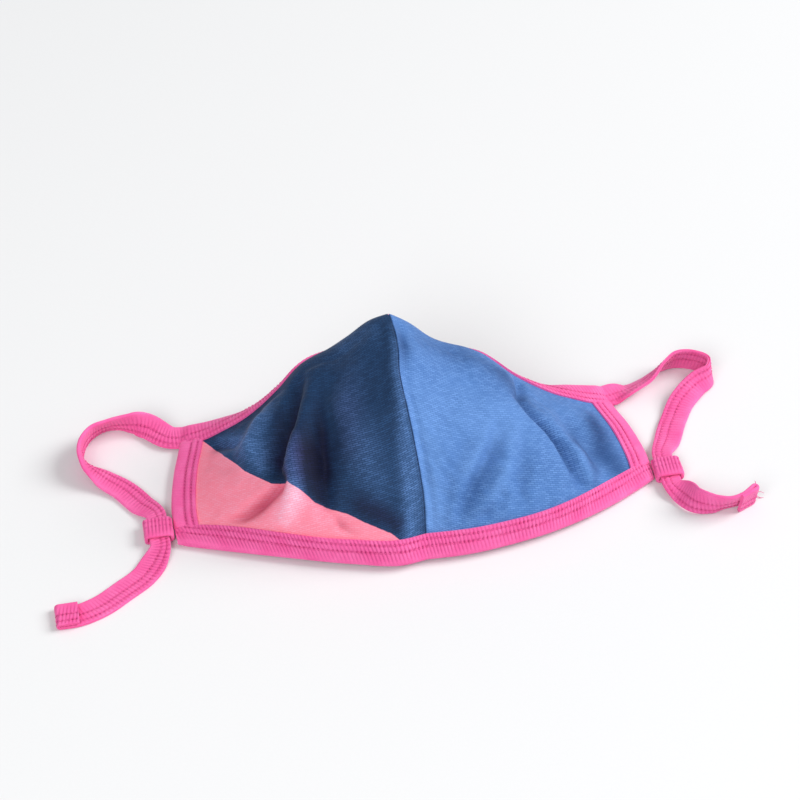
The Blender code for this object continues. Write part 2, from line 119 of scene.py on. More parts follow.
# Brow: the cloth's bulge over the nose edge's tape, in the same shares
browAcross = {
    "left": [(0.0, 0.0), (0.06, 0.304), (0.16, 0.331), (0.28, 0.270), (0.42, 0.030), (0.56, -0.080),
             (0.72, -0.100), (1.0, 0.0)],
    "right": [(0.0, 0.0), (0.06, 0.197), (0.16, 0.175), (0.28, 0.296), (0.42, 0.013), (0.56, -0.092),
              (0.72, -0.134), (1.0, 0.0)],
}
browUp = [(0.0, 0.0), (0.5, 0.0), (0.70, 0.5), (0.84, 1.0), (0.93, 0.85), (1.0, 0.0)]


def signOf(side):  # -1 on the left, 1 on the right
    return -1 if side == "left" else 1


def metres(shares):  # shares of the three main sizes, as lengths
    return np.asarray(shares, dtype=float) * (mask["halfWidth"], mask["depth"], mask["height"])


def unit(vectors):  # each vector divided by its own length
    return vectors / np.linalg.norm(vectors, axis=-1, keepdims=True)


def smoothStep(low, high, value):  # 0 below low, 1 above high, and 3t^2 - 2t^3 between
    t = np.clip((value - low) / (high - low), 0, 1)
    return t * t * (3 - 2 * t)


def bell(value, middle, half):  # e to the minus ((value - middle) / half) squared
    return np.exp(-((value - middle) / half) ** 2)


def smoothTable(rows, at):
    # A cubic through the rows of a table: Hermite blends of two rows and of the slopes that
    # their neighbours give
    table = np.asarray(rows, dtype=float)
    share, value = table[:, 0], table[:, 1:]
    slope = np.gradient(value, share, axis=0)
    at = np.asarray(at, dtype=float)
    k = np.clip(np.searchsorted(share, at, side="right") - 1, 0, len(share) - 2)
    step = (share[k + 1] - share[k])[..., None]
    s = (at[..., None] - share[k][..., None]) / step
    return ((1 + 2 * s) * (1 - s) ** 2 * value[k] + s * (1 - s) ** 2 * step * slope[k]
            + s * s * (3 - 2 * s) * value[k + 1] + s * s * (s - 1) * step * slope[k + 1])


def edgeLine(name, at):  # a point of a named edge, at a share of the way along it
    start, end, rows = edges[name]
    return metres(smoothTable([(0.0, *corners[start]), *rows, (1.0, *corners[end])], at))


def framePatch(side, u, v):
    # The sheet spanned by four edges: the two blends of facing edges, less the corners' blend
    seam, out = edgeLine("seam", v), edgeLine(side + "_side", v)
    bottom, top = edgeLine(side + "_bottom", u), edgeLine(side + "_top_edge", u)
    chin, nose = metres(corners["chin"]), metres(corners["nose"])
    base, peak = metres(corners[side + "_base"]), metres(corners[side + "_top"])
    u, v = u[..., None], v[..., None]
    blend = (1 - u) * (1 - v) * chin + (1 - u) * v * nose + u * (1 - v) * base + u * v * peak
    return (1 - u) * seam + u * out + (1 - v) * bottom + v * top - blend


def outward(side, sheet, u, v):
    # Unit normals of a sheet: the cross product of two small steps on it, turned away from the face
    step = mask["lookAhead"]
    u0, u1 = np.clip(u - step, 0, 1), np.clip(u + step, 0, 1)
    v0, v1 = np.clip(v - step, 0, 1), np.clip(v + step, 0, 1)
    across = sheet(side, u1, v) - sheet(side, u0, v)
    along = sheet(side, u, v1) - sheet(side, u, v0)
    return unit(np.cross(across, along)) * signOf(side)


def clothSheet(side, u, v):  # the edges' sheet, lifted along its normals by the crown and the brow
    rise = smoothTable(crownAcross, u) * smoothTable(crownUp, v)
    rise = mask["crown"] * (rise + smoothTable(browAcross[side], u) * smoothTable(browUp, v))
    return framePatch(side, u, v) + rise * outward(side, framePatch, u, v)


def seamNormal(v):
    # Along the seam, the two panels' normals added and made a unit again
    zero = np.zeros_like(v)
    return unit(outward("left", clothSheet, zero, v) + outward("right", clothSheet, zero, v))


def runAlong(line):  # distance walked along a line of points, from its first
    steps = np.linalg.norm(np.diff(line, axis=0), axis=-1)
    return np.concatenate((np.zeros_like(steps[:1]), np.cumsum(steps, axis=0)))


def sharesIn(side, edge, along, inset, reach=0.32, samples=64):
    # Shares that lie the given insets in from an edge, measured on the cloth: lengths are summed
    # along lines that leave the edge, and read backwards by linear interpolation
    probe = np.linspace(0, reach, samples)
    across = np.tile(along[:, None], (1, samples))
    inward = np.tile(probe, (len(along), 1))
    if edge == "bottom":
        lines = clothSheet(side, across, inward)
    elif edge == "top":
        lines = clothSheet(side, across, 1 - inward)
    else:
        lines = clothSheet(side, 1 - inward, across)
    run = runAlong(lines.swapaxes(0, 1)).T
    k = np.clip((run[:, None, :] < inset[None, :, None]).sum(-1), 1, samples - 1)
    low = np.take_along_axis(run, k - 1, 1)
    high = np.take_along_axis(run, k, 1)
    share = probe[k - 1] + (inset - low) / (high - low) * probe[1]
    return share if edge == "bottom" else 1 - share


def alongRun(run, values, at):  # each column of values, read at the distances `at`
    return np.stack([np.interp(at, run, column) for column in values.T], -1)


# Ear straps: main lengths, and where the keepers stand
ears = {
    "loopReach": 0.034,     # how far an ear loop stands out from the short side
    "tailLength": 0.052,    # free tape past the keeper
    "hemLength": 0.0075,    # end of the tape, folded back
    "keeperLength": 0.0100,     # keeper, along the strap
    "keeperPower": 5,       # how square a keeper's ring is, 2 being an ellipse
    "ringSteps": 400, "keeperStations": 130,
    "gather": 0.76,         # strap width inside its keeper, as a share of its full width
    "leadIn": 0.0036,       # straight run out of the top binding
    "straight": (0.8, 0.5, 0.0, -0.5, -0.8),    # gathered places, in keeper lengths
    "keeperBack": {"left": 0.073, "right": 0.012},      # shares of depth
}


def keeperMiddle(side):
    # Beside the bottom corner: clear of the widest place of the side edge by two gaps, a wall and
    # half of the gathered strap
    back = ears["keeperBack"][side] * mask["depth"]
    half = ears["keeperLength"] / 2
    rim = edgeLine(side + "_side", np.linspace(0, 1, 121))
    beside = signOf(side) * np.interp((back - half, back + half), rim[:, 1], rim[:, 0])
    out = beside.max() + 2 * mask["gap"] + strapThickness + ears["gather"] * tape["width"] / 2
    return np.array((signOf(side) * out, back, 1.5 * strapThickness + mask["gap"]))


# The left keeper's box in the frame gives the step from the tables' places to the frame's
keeperBox = np.array([list(corner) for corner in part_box("left_keeper")])
toFrame = keeperBox.mean(axis=0) - keeperMiddle("left")
print("step from the tables to the frame, mm:", np.round(toFrame * 1000, 2))


# Camera: above the chin edge and a little to the left, with a long lens
view = {
    "eye": (-0.1184, -0.6326, 0.6918),
    "target": (0.0063, 0.0275, 0.0200),
    "lens": 103.46,
    "sensor": 36.0,
}


def makeCamera():  # turned from the eye to the target, with its top up
    camera = bpy.data.objects.new("camera", bpy.data.cameras.new("camera"))
    camera.data.lens = view["lens"]
    camera.data.sensor_width = view["sensor"]
    camera.data.clip_start = 0.01
    camera.data.clip_end = 20.0
    camera.location = view["eye"]
    look = Vector(view["target"]) - Vector(view["eye"])
    camera.rotation_euler = look.to_track_quat("-Z", "Y").to_euler()
    bpy.context.scene.collection.objects.link(camera)
    bpy.context.scene.camera = camera


makeCamera()
print("camera placed")


# Meshes from arrays
def gridFaces(index, uv):
    # Quads of a grid of vertex numbers, with the UV of each corner beside them
    near, far = slice(None, -1), slice(1, None)
    turns = ((near, near), (far, near), (far, far), (near, far))
    quads = np.stack([index[turn].ravel() for turn in turns], 1)
    return quads, np.stack([uv[turn].reshape(-1, 2) for turn in turns], 1)


def signedVolume(points, groups):
    # Sum over fans of triangles of the triple product of their corners, a sixth of it
    total = 0.0
    for faces, _ in groups:
        for k in range(1, faces.shape[1] - 1):
            a, b, c = points[faces[:, 0]], points[faces[:, k]], points[faces[:, k + 1]]
            total += np.einsum("ij,ij->", a, np.cross(b, c)) / 6
    return total


def addPiece(name, points, groups, finish, floats=None, sharp=50):
    # A closed mesh from face groups (faces, corner UVs), moved to the frame and kept above the
    # surface; its faces are turned round if its signed volume is below zero
    points = points + toFrame
    points[:, 2] = np.maximum(points[:, 2], 0)
    if signedVolume(points - points.mean(axis=0), groups) < 0:
        groups = [(faces[:, ::-1], uv[:, ::-1]) for faces, uv in groups]
    corner = np.concatenate([faces.ravel() for faces, _ in groups])
    sizes = np.concatenate([np.full(len(faces), faces.shape[1]) for faces, _ in groups])
    mesh = bpy.data.meshes.new(name)
    mesh.vertices.add(len(points))
    mesh.vertices.foreach_set("co", points.astype(np.float32).ravel())
    mesh.loops.add(len(corner))
    mesh.loops.foreach_set("vertex_index", corner.astype(np.int32))
    mesh.polygons.add(len(sizes))
    mesh.polygons.foreach_set("loop_start", (np.cumsum(sizes) - sizes).astype(np.int32))
    mesh.update(calc_edges=True)
    layer = mesh.uv_layers.new(name="cloth")
    layer.data.foreach_set("uv", np.concatenate([uv.ravel() for _, uv in groups]).astype(np.float32))
    for label, values in (floats or {}).items():
        mesh.attributes.new(label, "FLOAT", "POINT").data.foreach_set("value", values.astype(np.float32))
    mesh.shade_smooth()
    mesh.set_sharp_from_angle(angle=math.radians(sharp))
    mesh.materials.append(finish)
    piece = bpy.data.objects.new(name, mesh)
    bpy.context.scene.collection.objects.link(piece)
    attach(piece, "root")
    return piece


def wallFaces(rows, columns, uv):
    # Faces of a wall between two like grids: both faces and the strip round their rim
    outer = np.arange(rows * columns).reshape(rows, columns)
    inner = outer + rows * columns
    ring = np.concatenate((outer[0, :-1], outer[:-1, -1], outer[-1, :0:-1], outer[:0:-1, 0], outer[0, :1]))
    flat = uv.reshape(-1, 2)
    rimFaces = gridFaces(np.stack((ring, ring + rows * columns)), np.stack((flat[ring], flat[ring])))
    front = gridFaces(outer, uv)
    back = gridFaces(inner, uv)
    return [front, (back[0][:, ::-1], back[1][:, ::-1]), (rimFaces[0][:, ::-1], rimFaces[1][:, ::-1])]


# Materials
def nodeTools(name):  # a new material, its shader, and short ways to add a node and to join two
    made = bpy.data.materials.new(name)
    made.use_nodes = True
    tree = made.node_tree
    shader = tree.nodes["Principled BSDF"]

    def node(kind, **values):
        item = tree.nodes.new("ShaderNode" + kind)
        for key, value in values.items():
            if key.startswith("in_"):
                item.inputs[key[3:]].default_value = value
            else:
                setattr(item, key, value)
        return item

    def wire(source, target):
        tree.links.new(source, target)

    return made, shader, node, wire


def mixColour(node, wire, factor, first, second):
    # A Mix node for colours; each colour is a value or a socket
    mixer = node("Mix", data_type="RGBA")
    wire(factor, mixer.inputs[0])
    for socket, colour in ((mixer.inputs[6], first), (mixer.inputs[7], second)):
        if hasattr(colour, "is_linked"):
            wire(colour, socket)
        else:
            socket.default_value = (*colour, 1.0)
    return mixer.outputs[2]


def ramp(node, wire, source, low, high, start=0.0, end=1.0):
    # Map Range from low..high to start..end, clamped
    item = node("MapRange")
    wire(source, item.inputs[0])
    for socket, value in zip(item.inputs[1:5], (low, high, start, end)):
        socket.default_value = value
    return item.outputs[0]


def setInputs(item, values):  # plain values for a node's inputs, by name or number
    for socket, value in values.items():
        item.inputs[socket].default_value = value


def clothPlace(node, wire):  # the mesh's own UV map, scaled from metres to millimetres
    scale = node("Mapping", in_Scale=(1000.0, 1000.0, 1000.0))
    wire(node("UVMap", uv_map="cloth").outputs[0], scale.inputs[0])
    return scale.outputs[0]


def textureAt(node, wire, place, kind, **values):  # a texture node read at a place
    texture = node("Tex" + kind, **values)
    wire(place, texture.inputs["Vector"])
    return texture


def bumps(node, wire, shader, layers):
    # Bump nodes one upon another; a layer is its height, its strength and its depth
    below = None
    for height, strength, depth in layers:
        bump = node("Bump", in_Strength=strength, in_Distance=depth)
        wire(height, bump.inputs["Height"])
        if below is not None:
            wire(below, bump.inputs["Normal"])
        below = bump.outputs[0]
    wire(below, shader.inputs["Normal"])


knitLook = {
    "rowHeight": 0.80,      # mm, one row of the knit
    "dash": 2.30,           # mm, one float of yarn
    "yarnGap": 0.20,        # mm, dark gap between dashes
    "shake": (0.30, 0.12, 0.0),     # mm, how far the rows wander
    "wobble": 0.36,         # mm, waviness of the printed border
    "coral": (0.98, 0.225, 0.32),
    "coralLit": (1.0, 0.35, 0.49),
    # painted highlight colour for the coral's fold crests
    "coralCrest": (1.0, 0.62, 0.80),
}


def knitCloth(name, deep, ground, lit, glow, hollow):
    # Rows of short light dashes on a darker ground, as brick courses on the cloth's own UV map in
    # millimetres, with fuzz and slow changes of tone; a printed coral corner where "border" < 0,
    # a painted highlight (a lighter mix) where "crest" is high, and painted shade (the mix times the hollow
    # colour) where "shade" is high
    made, shader, node, wire = nodeTools(name)
    place = clothPlace(node, wire)
    wander = textureAt(node, wire, place, "Noise", in_Scale=0.55, in_Detail=2.0)
    shake = node("VectorMath", operation="MULTIPLY_ADD")
    wire(wander.outputs["Color"], shake.inputs[0])
    shake.inputs[1].default_value = knitLook["shake"]
    wire(place, shake.inputs[2])
    dashes = textureAt(node, wire, shake.outputs[0], "Brick", offset=0.5, squash=1.0, in_Scale=1.0)
    setInputs(dashes, {"Color1": (1.0, 1.0, 1.0, 1.0), "Color2": (0.45, 0.45, 0.45, 1.0),
                       "Mortar": (0.0, 0.0, 0.0, 1.0), "Mortar Size": knitLook["yarnGap"],
                       "Mortar Smooth": 1.0, "Bias": 0.1, "Brick Width": knitLook["dash"],
                       "Row Height": knitLook["rowHeight"]})
    yarn = ramp(node, wire, dashes.outputs["Color"], 0.0, 1.0)
    fuzz = textureAt(node, wire, place, "Noise", in_Scale=4.0, in_Detail=4.0, in_Roughness=0.65)
    slow = textureAt(node, wire, place, "Noise", in_Scale=0.035, in_Detail=2.0)
    tone = ramp(node, wire, slow.outputs[0], 0.35, 0.65)
    blue = mixColour(node, wire, yarn, mixColour(node, wire, tone, deep, ground), lit)
    coral = mixColour(node, wire, yarn, knitLook["coral"], knitLook["coralLit"])
    edge = node("Math", operation="MULTIPLY_ADD")
    wire(wander.outputs[0], edge.inputs[0])
    edge.inputs[1].default_value = knitLook["wobble"]
    wire(node("Attribute", attribute_name="border").outputs["Fac"], edge.inputs[2])
    side = ramp(node, wire, edge.outputs[0], 0.05, 0.30)
    printed = mixColour(node, wire, side, coral, blue)
    # Painted highlight on fold crests and light strokes, paler coral on the coral side
    crest = node("Attribute", attribute_name="crest")
    pale = mixColour(node, wire, yarn, knitLook["coralLit"], knitLook["coralCrest"])
    raised = mixColour(node, wire, side, pale, mixColour(node, wire, yarn, lit, glow))
    printed = mixColour(node, wire, crest.outputs["Fac"], printed, raised)
    # Painted shade: the colour times the hollow colour in fold valleys and shade strokes
    sunk = node("Mix", data_type="RGBA", blend_type="MULTIPLY")
    wire(node("Attribute", attribute_name="shade").outputs["Fac"], sunk.inputs[0])
    wire(printed, sunk.inputs[6])
    sunk.inputs[7].default_value = (*hollow, 1.0)
    wire(sunk.outputs[2], shader.inputs["Base Color"])
    wire(ramp(node, wire, fuzz.outputs[0], 0.3, 0.7, 0.62, 0.80), shader.inputs["Roughness"])
    setInputs(shader, {"Specular IOR Level": 0.22, "Sheen Weight": 0.07, "Sheen Roughness": 0.4,
                       "Sheen Tint": (0.75, 0.85, 1.0, 1.0)})
    bumps(node, wire, shader, ((fuzz.outputs[0], 0.35, 0.00012), (yarn, 0.6, 0.00012)))
    return made


def knitTape(name, deep, ground, lit):
    # Fine loops along the ribs of a knit tape, as a wave and a noise on the tape's UV map in
    # millimetres; painted shade in the ribs' and stitch rows' grooves, by the attribute "groove"
    made, shader, node, wire = nodeTools(name)
    place = clothPlace(node, wire)
    knit = textureAt(node, wire, place, "Wave", wave_type="BANDS", bands_direction="Y",
                     in_Scale=0.55, in_Distortion=2.2, in_Detail=2.0)
    setInputs(knit, {"Detail Scale": 2.6})
    fuzz = textureAt(node, wire, place, "Noise", in_Scale=3.2, in_Detail=4.0, in_Roughness=0.7)
    slow = textureAt(node, wire, place, "Noise", in_Scale=0.12, in_Detail=2.0)
    tops = mixColour(node, wire, ramp(node, wire, slow.outputs[0], 0.3, 0.7), ground, lit)
    speckled = mixColour(node, wire, ramp(node, wire, fuzz.outputs[0], 0.25, 0.5, 0.35, 1.0), deep, tops)
    groove = node("Attribute", attribute_name="groove")
    wire(mixColour(node, wire, groove.outputs["Fac"], speckled, deep), shader.inputs["Base Color"])
    wire(ramp(node, wire, fuzz.outputs[0], 0.3, 0.7, 0.70, 0.88), shader.inputs["Roughness"])
    setInputs(shader, {"Specular IOR Level": 0.3, "Sheen Weight": 0.25, "Sheen Roughness": 0.45,
                       "Sheen Tint": (1.0, 0.75, 0.9, 1.0)})
    bumps(node, wire, shader, ((fuzz.outputs[0], 0.45, 0.00016), (knit.outputs[1], 0.30, 0.00012)))
    return made


def sewingThread(name, deep, lit):
    # Twisted thread: a fine slanted wave on its own UV map, painted highlight on the twist and painted
    # shade between
    made, shader, node, wire = nodeTools(name)
    uv = node("UVMap", uv_map="cloth")
    twist = textureAt(node, wire, uv.outputs[0], "Wave", wave_type="BANDS", bands_direction="DIAGONAL",
                      in_Scale=1200.0)
    wire(mixColour(node, wire, twist.outputs[1], deep, lit), shader.inputs["Base Color"])
    wire(ramp(node, wire, twist.outputs[1], 0.0, 1.0, 0.5, 0.7), shader.inputs["Roughness"])
    bumps(node, wire, shader, ((twist.outputs[1], 0.4, 0.00008),))
    return made


# The left panel's knit is a darker copy of the right panel's blue knit: painted shade for the panel that
# faces away from the key light. glow is each knit's painted highlight colour and hollow its painted shade
# factor
shadedBlueKnit = knitCloth("shaded_blue_knit", (0.0035, 0.016, 0.052), (0.0050, 0.026, 0.076), (0.015, 0.060, 0.164),
                     glow=(0.115, 0.245, 0.560), hollow=(0.45, 0.17, 0.30))
blueKnit = knitCloth("blue_knit", (0.034, 0.112, 0.330), (0.056, 0.160, 0.430), (0.128, 0.275, 0.610),
                     glow=(0.180, 0.370, 0.800), hollow=(0.16, 0.27, 0.38))
pinkKnit = knitTape("pink_knit_tape", (0.50, 0.024, 0.165), (0.92, 0.108, 0.365), (0.99, 0.175, 0.465))
pinkThread = sewingThread("pink_thread", (0.60, 0.035, 0.20), (0.98, 0.16, 0.43))
print("materials made")


# Panels
panel = {
    "columns": 190, "rows": 150,
    "crowding": 0.45,       # how much of the columns' spacing is drawn to the seam
    "seamBlend": 0.004,     # the two panels' normals blend over this length
    "foldMargin": 0.0112,   # folds start this far inside the panel's edges
    "foldEase": 0.0060,     # and reach their full depth over this length
    "turnIn": {"left": 0.0009, "right": 0.0009},    # radius of the cloth turning in at the seam
    "ridge": {"left": 0.0008, "right": -0.0009},    # how far it stands up beside the turn, or dips
    "ridgeAt": 0.0028, "ridgeWidth": 0.0019,
    "bite": 0.2, "bitePitch": 0.0017,       # share of the turn that the seam's stitches pull
    # hollow is painted shade in fold valleys and crest a painted highlight on fold crests
    "hollowDepth": 0.0055, "crestHeight": 0.0034,   # folds this deep or high take the full tone
    "hollowPower": 1.3,     # above 1, shallow folds stay lighter
    "hollowShare": {"left": 1.0, "right": 0.5},
    "seamShade": 0.4,       # shade in the turn at the seam
    "seamGap": 0.00004,
    "pucker": 0.00022, "puckerPitch": 0.0085, "puckerDrift": 0.013, "puckerReach": 0.0045,
    "uneven": ((0.00032, 0.021, 9, 11), (0.00010, 0.0062, 14, 31)),     # height, length, sines, seed
    "plainBorder": 5.0,     # mm, the border's value where nothing is printed
    "toneBorder": 2.0,      # mm, the shade fades over this length at the printed border
}

# Folds: u and v of each point (seam to side, chin edge to nose edge), then half width and height
# in millimetres, a height below zero being a valley
folds = {
    "left": [
        [(0.400, 0.860, 3.0, -1.4), (0.425, 0.745, 3.6, -4.6), (0.455, 0.620, 4.2, -6.4),
         (0.520, 0.500, 3.8, -7.4), (0.530, 0.430, 2.8, -4.4), (0.500, 0.385, 2.2, -1.0)],
        [(0.560, 0.820, 6.0, 1.2), (0.585, 0.740, 6.5, 3.0), (0.640, 0.595, 6.0, 3.0),
         (0.665, 0.500, 5.0, 0.9)],
        [(0.405, 0.640, 3.6, 0.8), (0.425, 0.510, 4.2, 3.6), (0.460, 0.340, 3.8, 4.4),
         (0.545, 0.190, 4.2, 2.2)],
        [(0.325, 0.700, 4.5, -1.6), (0.335, 0.560, 5.0, -5.2), (0.350, 0.400, 4.6, -6.4),
         (0.370, 0.270, 3.6, -3.4), (0.380, 0.215, 2.6, -0.8)],
        [(0.495, 0.385, 2.2, -1.0), (0.535, 0.350, 2.4, -4.0), (0.640, 0.265, 2.6, -4.6),
         (0.715, 0.205, 2.6, -3.4), (0.800, 0.170, 2.6, -0.9)],
        [(0.345, 0.200, 2.2, -0.6), (0.320, 0.165, 2.4, -2.4), (0.285, 0.125, 2.4, -1.2)],
        [(0.880, 0.780, 2.6, -0.6), (0.830, 0.735, 3.0, -2.6), (0.740, 0.680, 3.4, -2.2),
         (0.690, 0.650, 3.4, -0.6)],
        [(0.150, 0.780, 5.0, 0.4), (0.210, 0.620, 6.0, 1.4), (0.190, 0.420, 6.0, 1.4),
         (0.150, 0.240, 5.0, 0.3)],
    ],
    "right": [
        [(0.385, 0.580, 4.0, -0.6), (0.350, 0.510, 4.2, -2.8), (0.280, 0.405, 3.8, -4.6),
         (0.195, 0.280, 3.4, -4.8), (0.150, 0.205, 3.0, -3.4), (0.125, 0.130, 2.6, -1.0)],
        [(0.270, 0.540, 4.0, -0.5), (0.190, 0.430, 4.0, -2.0), (0.100, 0.300, 3.6, -2.0),
         (0.065, 0.150, 3.0, -0.6)],
        [(0.435, 0.540, 3.2, -0.5), (0.405, 0.400, 3.4, -2.4), (0.380, 0.270, 3.4, -2.8),
         (0.375, 0.175, 3.0, -0.8)],
        [(0.300, 0.215, 2.6, -0.9), (0.235, 0.145, 2.6, -1.8)],
        [(0.530, 0.880, 2.0, -0.6), (0.510, 0.825, 2.2, -2.4), (0.455, 0.670, 2.2, -2.6),
         (0.490, 0.580, 2.4, -3.4), (0.535, 0.530, 2.6, -4.6), (0.575, 0.465, 2.6, -4.8),
         (0.620, 0.300, 2.8, -4.2), (0.650, 0.170, 2.6, -1.6)],
        [(0.600, 0.440, 4.5, 0.4), (0.650, 0.380, 5.0, 1.6), (0.690, 0.230, 4.5, 1.2)],
        [(0.660, 0.640, 5.0, -0.5), (0.700, 0.550, 6.0, -3.2), (0.765, 0.350, 6.0, -3.8),
         (0.810, 0.190, 5.0, -1.6)],
        [(0.250, 0.360, 3.6, 0.3), (0.330, 0.330, 4.0, 1.6), (0.270, 0.220, 3.6, 1.2)],
    ],
}

# Broad painted shade and painted highlight over the cloth's folds: shade and glow strokes, each a
# row of u, v, half width in millimetres and strength
tones = {
    "left": {
        "shade": [
            [(0.480, 0.700, 4.0, 0.4), (0.490, 0.570, 5.5, 1.0), (0.510, 0.500, 5.0, 1.0),
             (0.500, 0.400, 4.0, 0.8)],
            [(0.385, 0.600, 5.0, 0.4), (0.380, 0.485, 7.0, 1.0), (0.380, 0.390, 7.0, 1.0),
             (0.385, 0.270, 4.0, 0.8)],
            [(0.290, 0.270, 4.5, 0.2), (0.235, 0.245, 4.5, 0.7), (0.170, 0.205, 4.0, 0.8),
             (0.120, 0.160, 3.0, 0.7)],
            [(0.190, 0.740, 8.0, 0.2), (0.195, 0.620, 8.0, 0.45), (0.250, 0.500, 8.0, 0.4)]],
        "glow": [
            [(0.790, 0.770, 4.0, 0.5), (0.720, 0.680, 6.5, 1.0), (0.630, 0.620, 6.0, 1.0),
             (0.590, 0.490, 4.5, 0.7)],
            [(0.012, 0.780, 1.6, 0.3), (0.012, 0.595, 2.0, 0.5), (0.028, 0.465, 2.6, 0.9),
             (0.040, 0.345, 3.4, 1.0), (0.050, 0.200, 3.6, 1.0), (0.060, 0.090, 4.0, 0.9)],
            [(0.175, 0.885, 6.0, 0.30), (0.090, 0.870, 5.0, 0.25)]],
    },
    "right": {
        "shade": [
            [(0.840, 0.680, 4.0, 0.5), (0.825, 0.600, 5.0, 0.9), (0.810, 0.390, 6.0, 0.9),
             (0.850, 0.220, 5.0, 0.7)],
            [(0.700, 0.560, 3.5, 0.3), (0.690, 0.450, 3.5, 0.7), (0.720, 0.300, 4.0, 0.6),
             (0.700, 0.180, 3.0, 0.3)],
            [(0.420, 0.780, 5.0, 0.4), (0.470, 0.690, 5.0, 0.7), (0.510, 0.600, 4.0, 0.3)],
            [(0.100, 0.830, 6.0, 0.30), (0.300, 0.850, 6.0, 0.45), (0.400, 0.800, 5.0, 0.4)],
            [(0.015, 0.850, 1.5, 0.2), (0.018, 0.765, 2.0, 0.8), (0.015, 0.690, 1.5, 0.2)]],
        "glow": [
            [(0.030, 0.620, 4.0, 0.2), (0.040, 0.450, 6.0, 0.4), (0.030, 0.300, 6.0, 0.4),
             (0.030, 0.150, 5.0, 0.7)],
            [(0.140, 0.560, 9.0, 0.3), (0.370, 0.530, 8.0, 0.4)],
            [(0.185, 0.340, 5.0, 0.5), (0.270, 0.410, 5.0, 0.6), (0.340, 0.480, 4.0, 0.5)]],
    },
}

# The printed border on the left panel, blue above it and coral below
printBorder = [
    (1.10, 1.03), (0.895, 0.830), (0.765, 0.605), (0.665, 0.465), (0.560, 0.375), (0.515, 0.370),
    (0.475, 0.370), (0.440, 0.335), (0.405, 0.270), (0.370, 0.240), (0.290, 0.215), (0.200, 0.165),
    (0.140, 0.130), (0.100, 0.090), (0.050, 0.040), (-0.10, -0.08)]


def stretches(points, u, v):
    # For each stretch between two points: the share of the way along it of the place nearest to
    # (u, v), the offset from its start, its run, and the distance to that place, in metres
    spot = np.stack((u * mask["halfWidth"], v * mask["depth"]), -1)
    line = np.array([point[:2] for point in points]) * (mask["halfWidth"], mask["depth"])
    for first, run in zip(line, np.diff(line, axis=0)):
        offset = spot - first
        share = np.clip(offset @ run / (run @ run), 0, 1)
        yield share, offset, run, np.linalg.norm(offset - share[..., None] * run, axis=-1)


def foldHeight(rows, u, v):
    # A fold is a bell across its line: height * exp(-(distance / half width)^2), from the nearest
    # of its stretches, with height and half width read along that stretch
    near, height = np.full(u.shape, np.inf), np.zeros(u.shape)
    for first, last, (share, _, _, away) in zip(rows, rows[1:], stretches(rows, u, v)):
        half, rise = ((first[k] + share * (last[k] - first[k])) / 1000 for k in (2, 3))
        height = np.where(away < near, rise * bell(away, 0, half), height)
        near = np.minimum(near, away)
    return height


def waves(x, y, length, count, seed):
    # A sum of sines with random directions and phases, about `length` from crest to crest
    dice = np.random.default_rng(seed)
    turn = dice.uniform(0, 2 * math.pi, (count, 2))
    stretch = dice.uniform(0.75, 1.5, count)
    total = np.zeros(np.broadcast(x, y).shape)
    for (heading, phase), factor in zip(turn, stretch):
        along = x * math.cos(heading) + y * math.sin(heading)
        total += np.sin(2 * math.pi * along * factor / length + phase)
    return total / math.sqrt(count)


def borderDistance(u, v):
    # Signed distance in millimetres to the printed border: above zero on the blue side, by the
    # cross product of the nearest stretch's run and the offset from its start
    near, signed = np.full(u.shape, np.inf), np.zeros(u.shape)
    for _, offset, run, away in stretches(printBorder, u, v):
        above = np.sign(offset[..., 0] * run[1] - offset[..., 1] * run[0])
        signed = np.where(away < near, away * above, signed)
        near = np.minimum(near, away)
    return signed * 1000


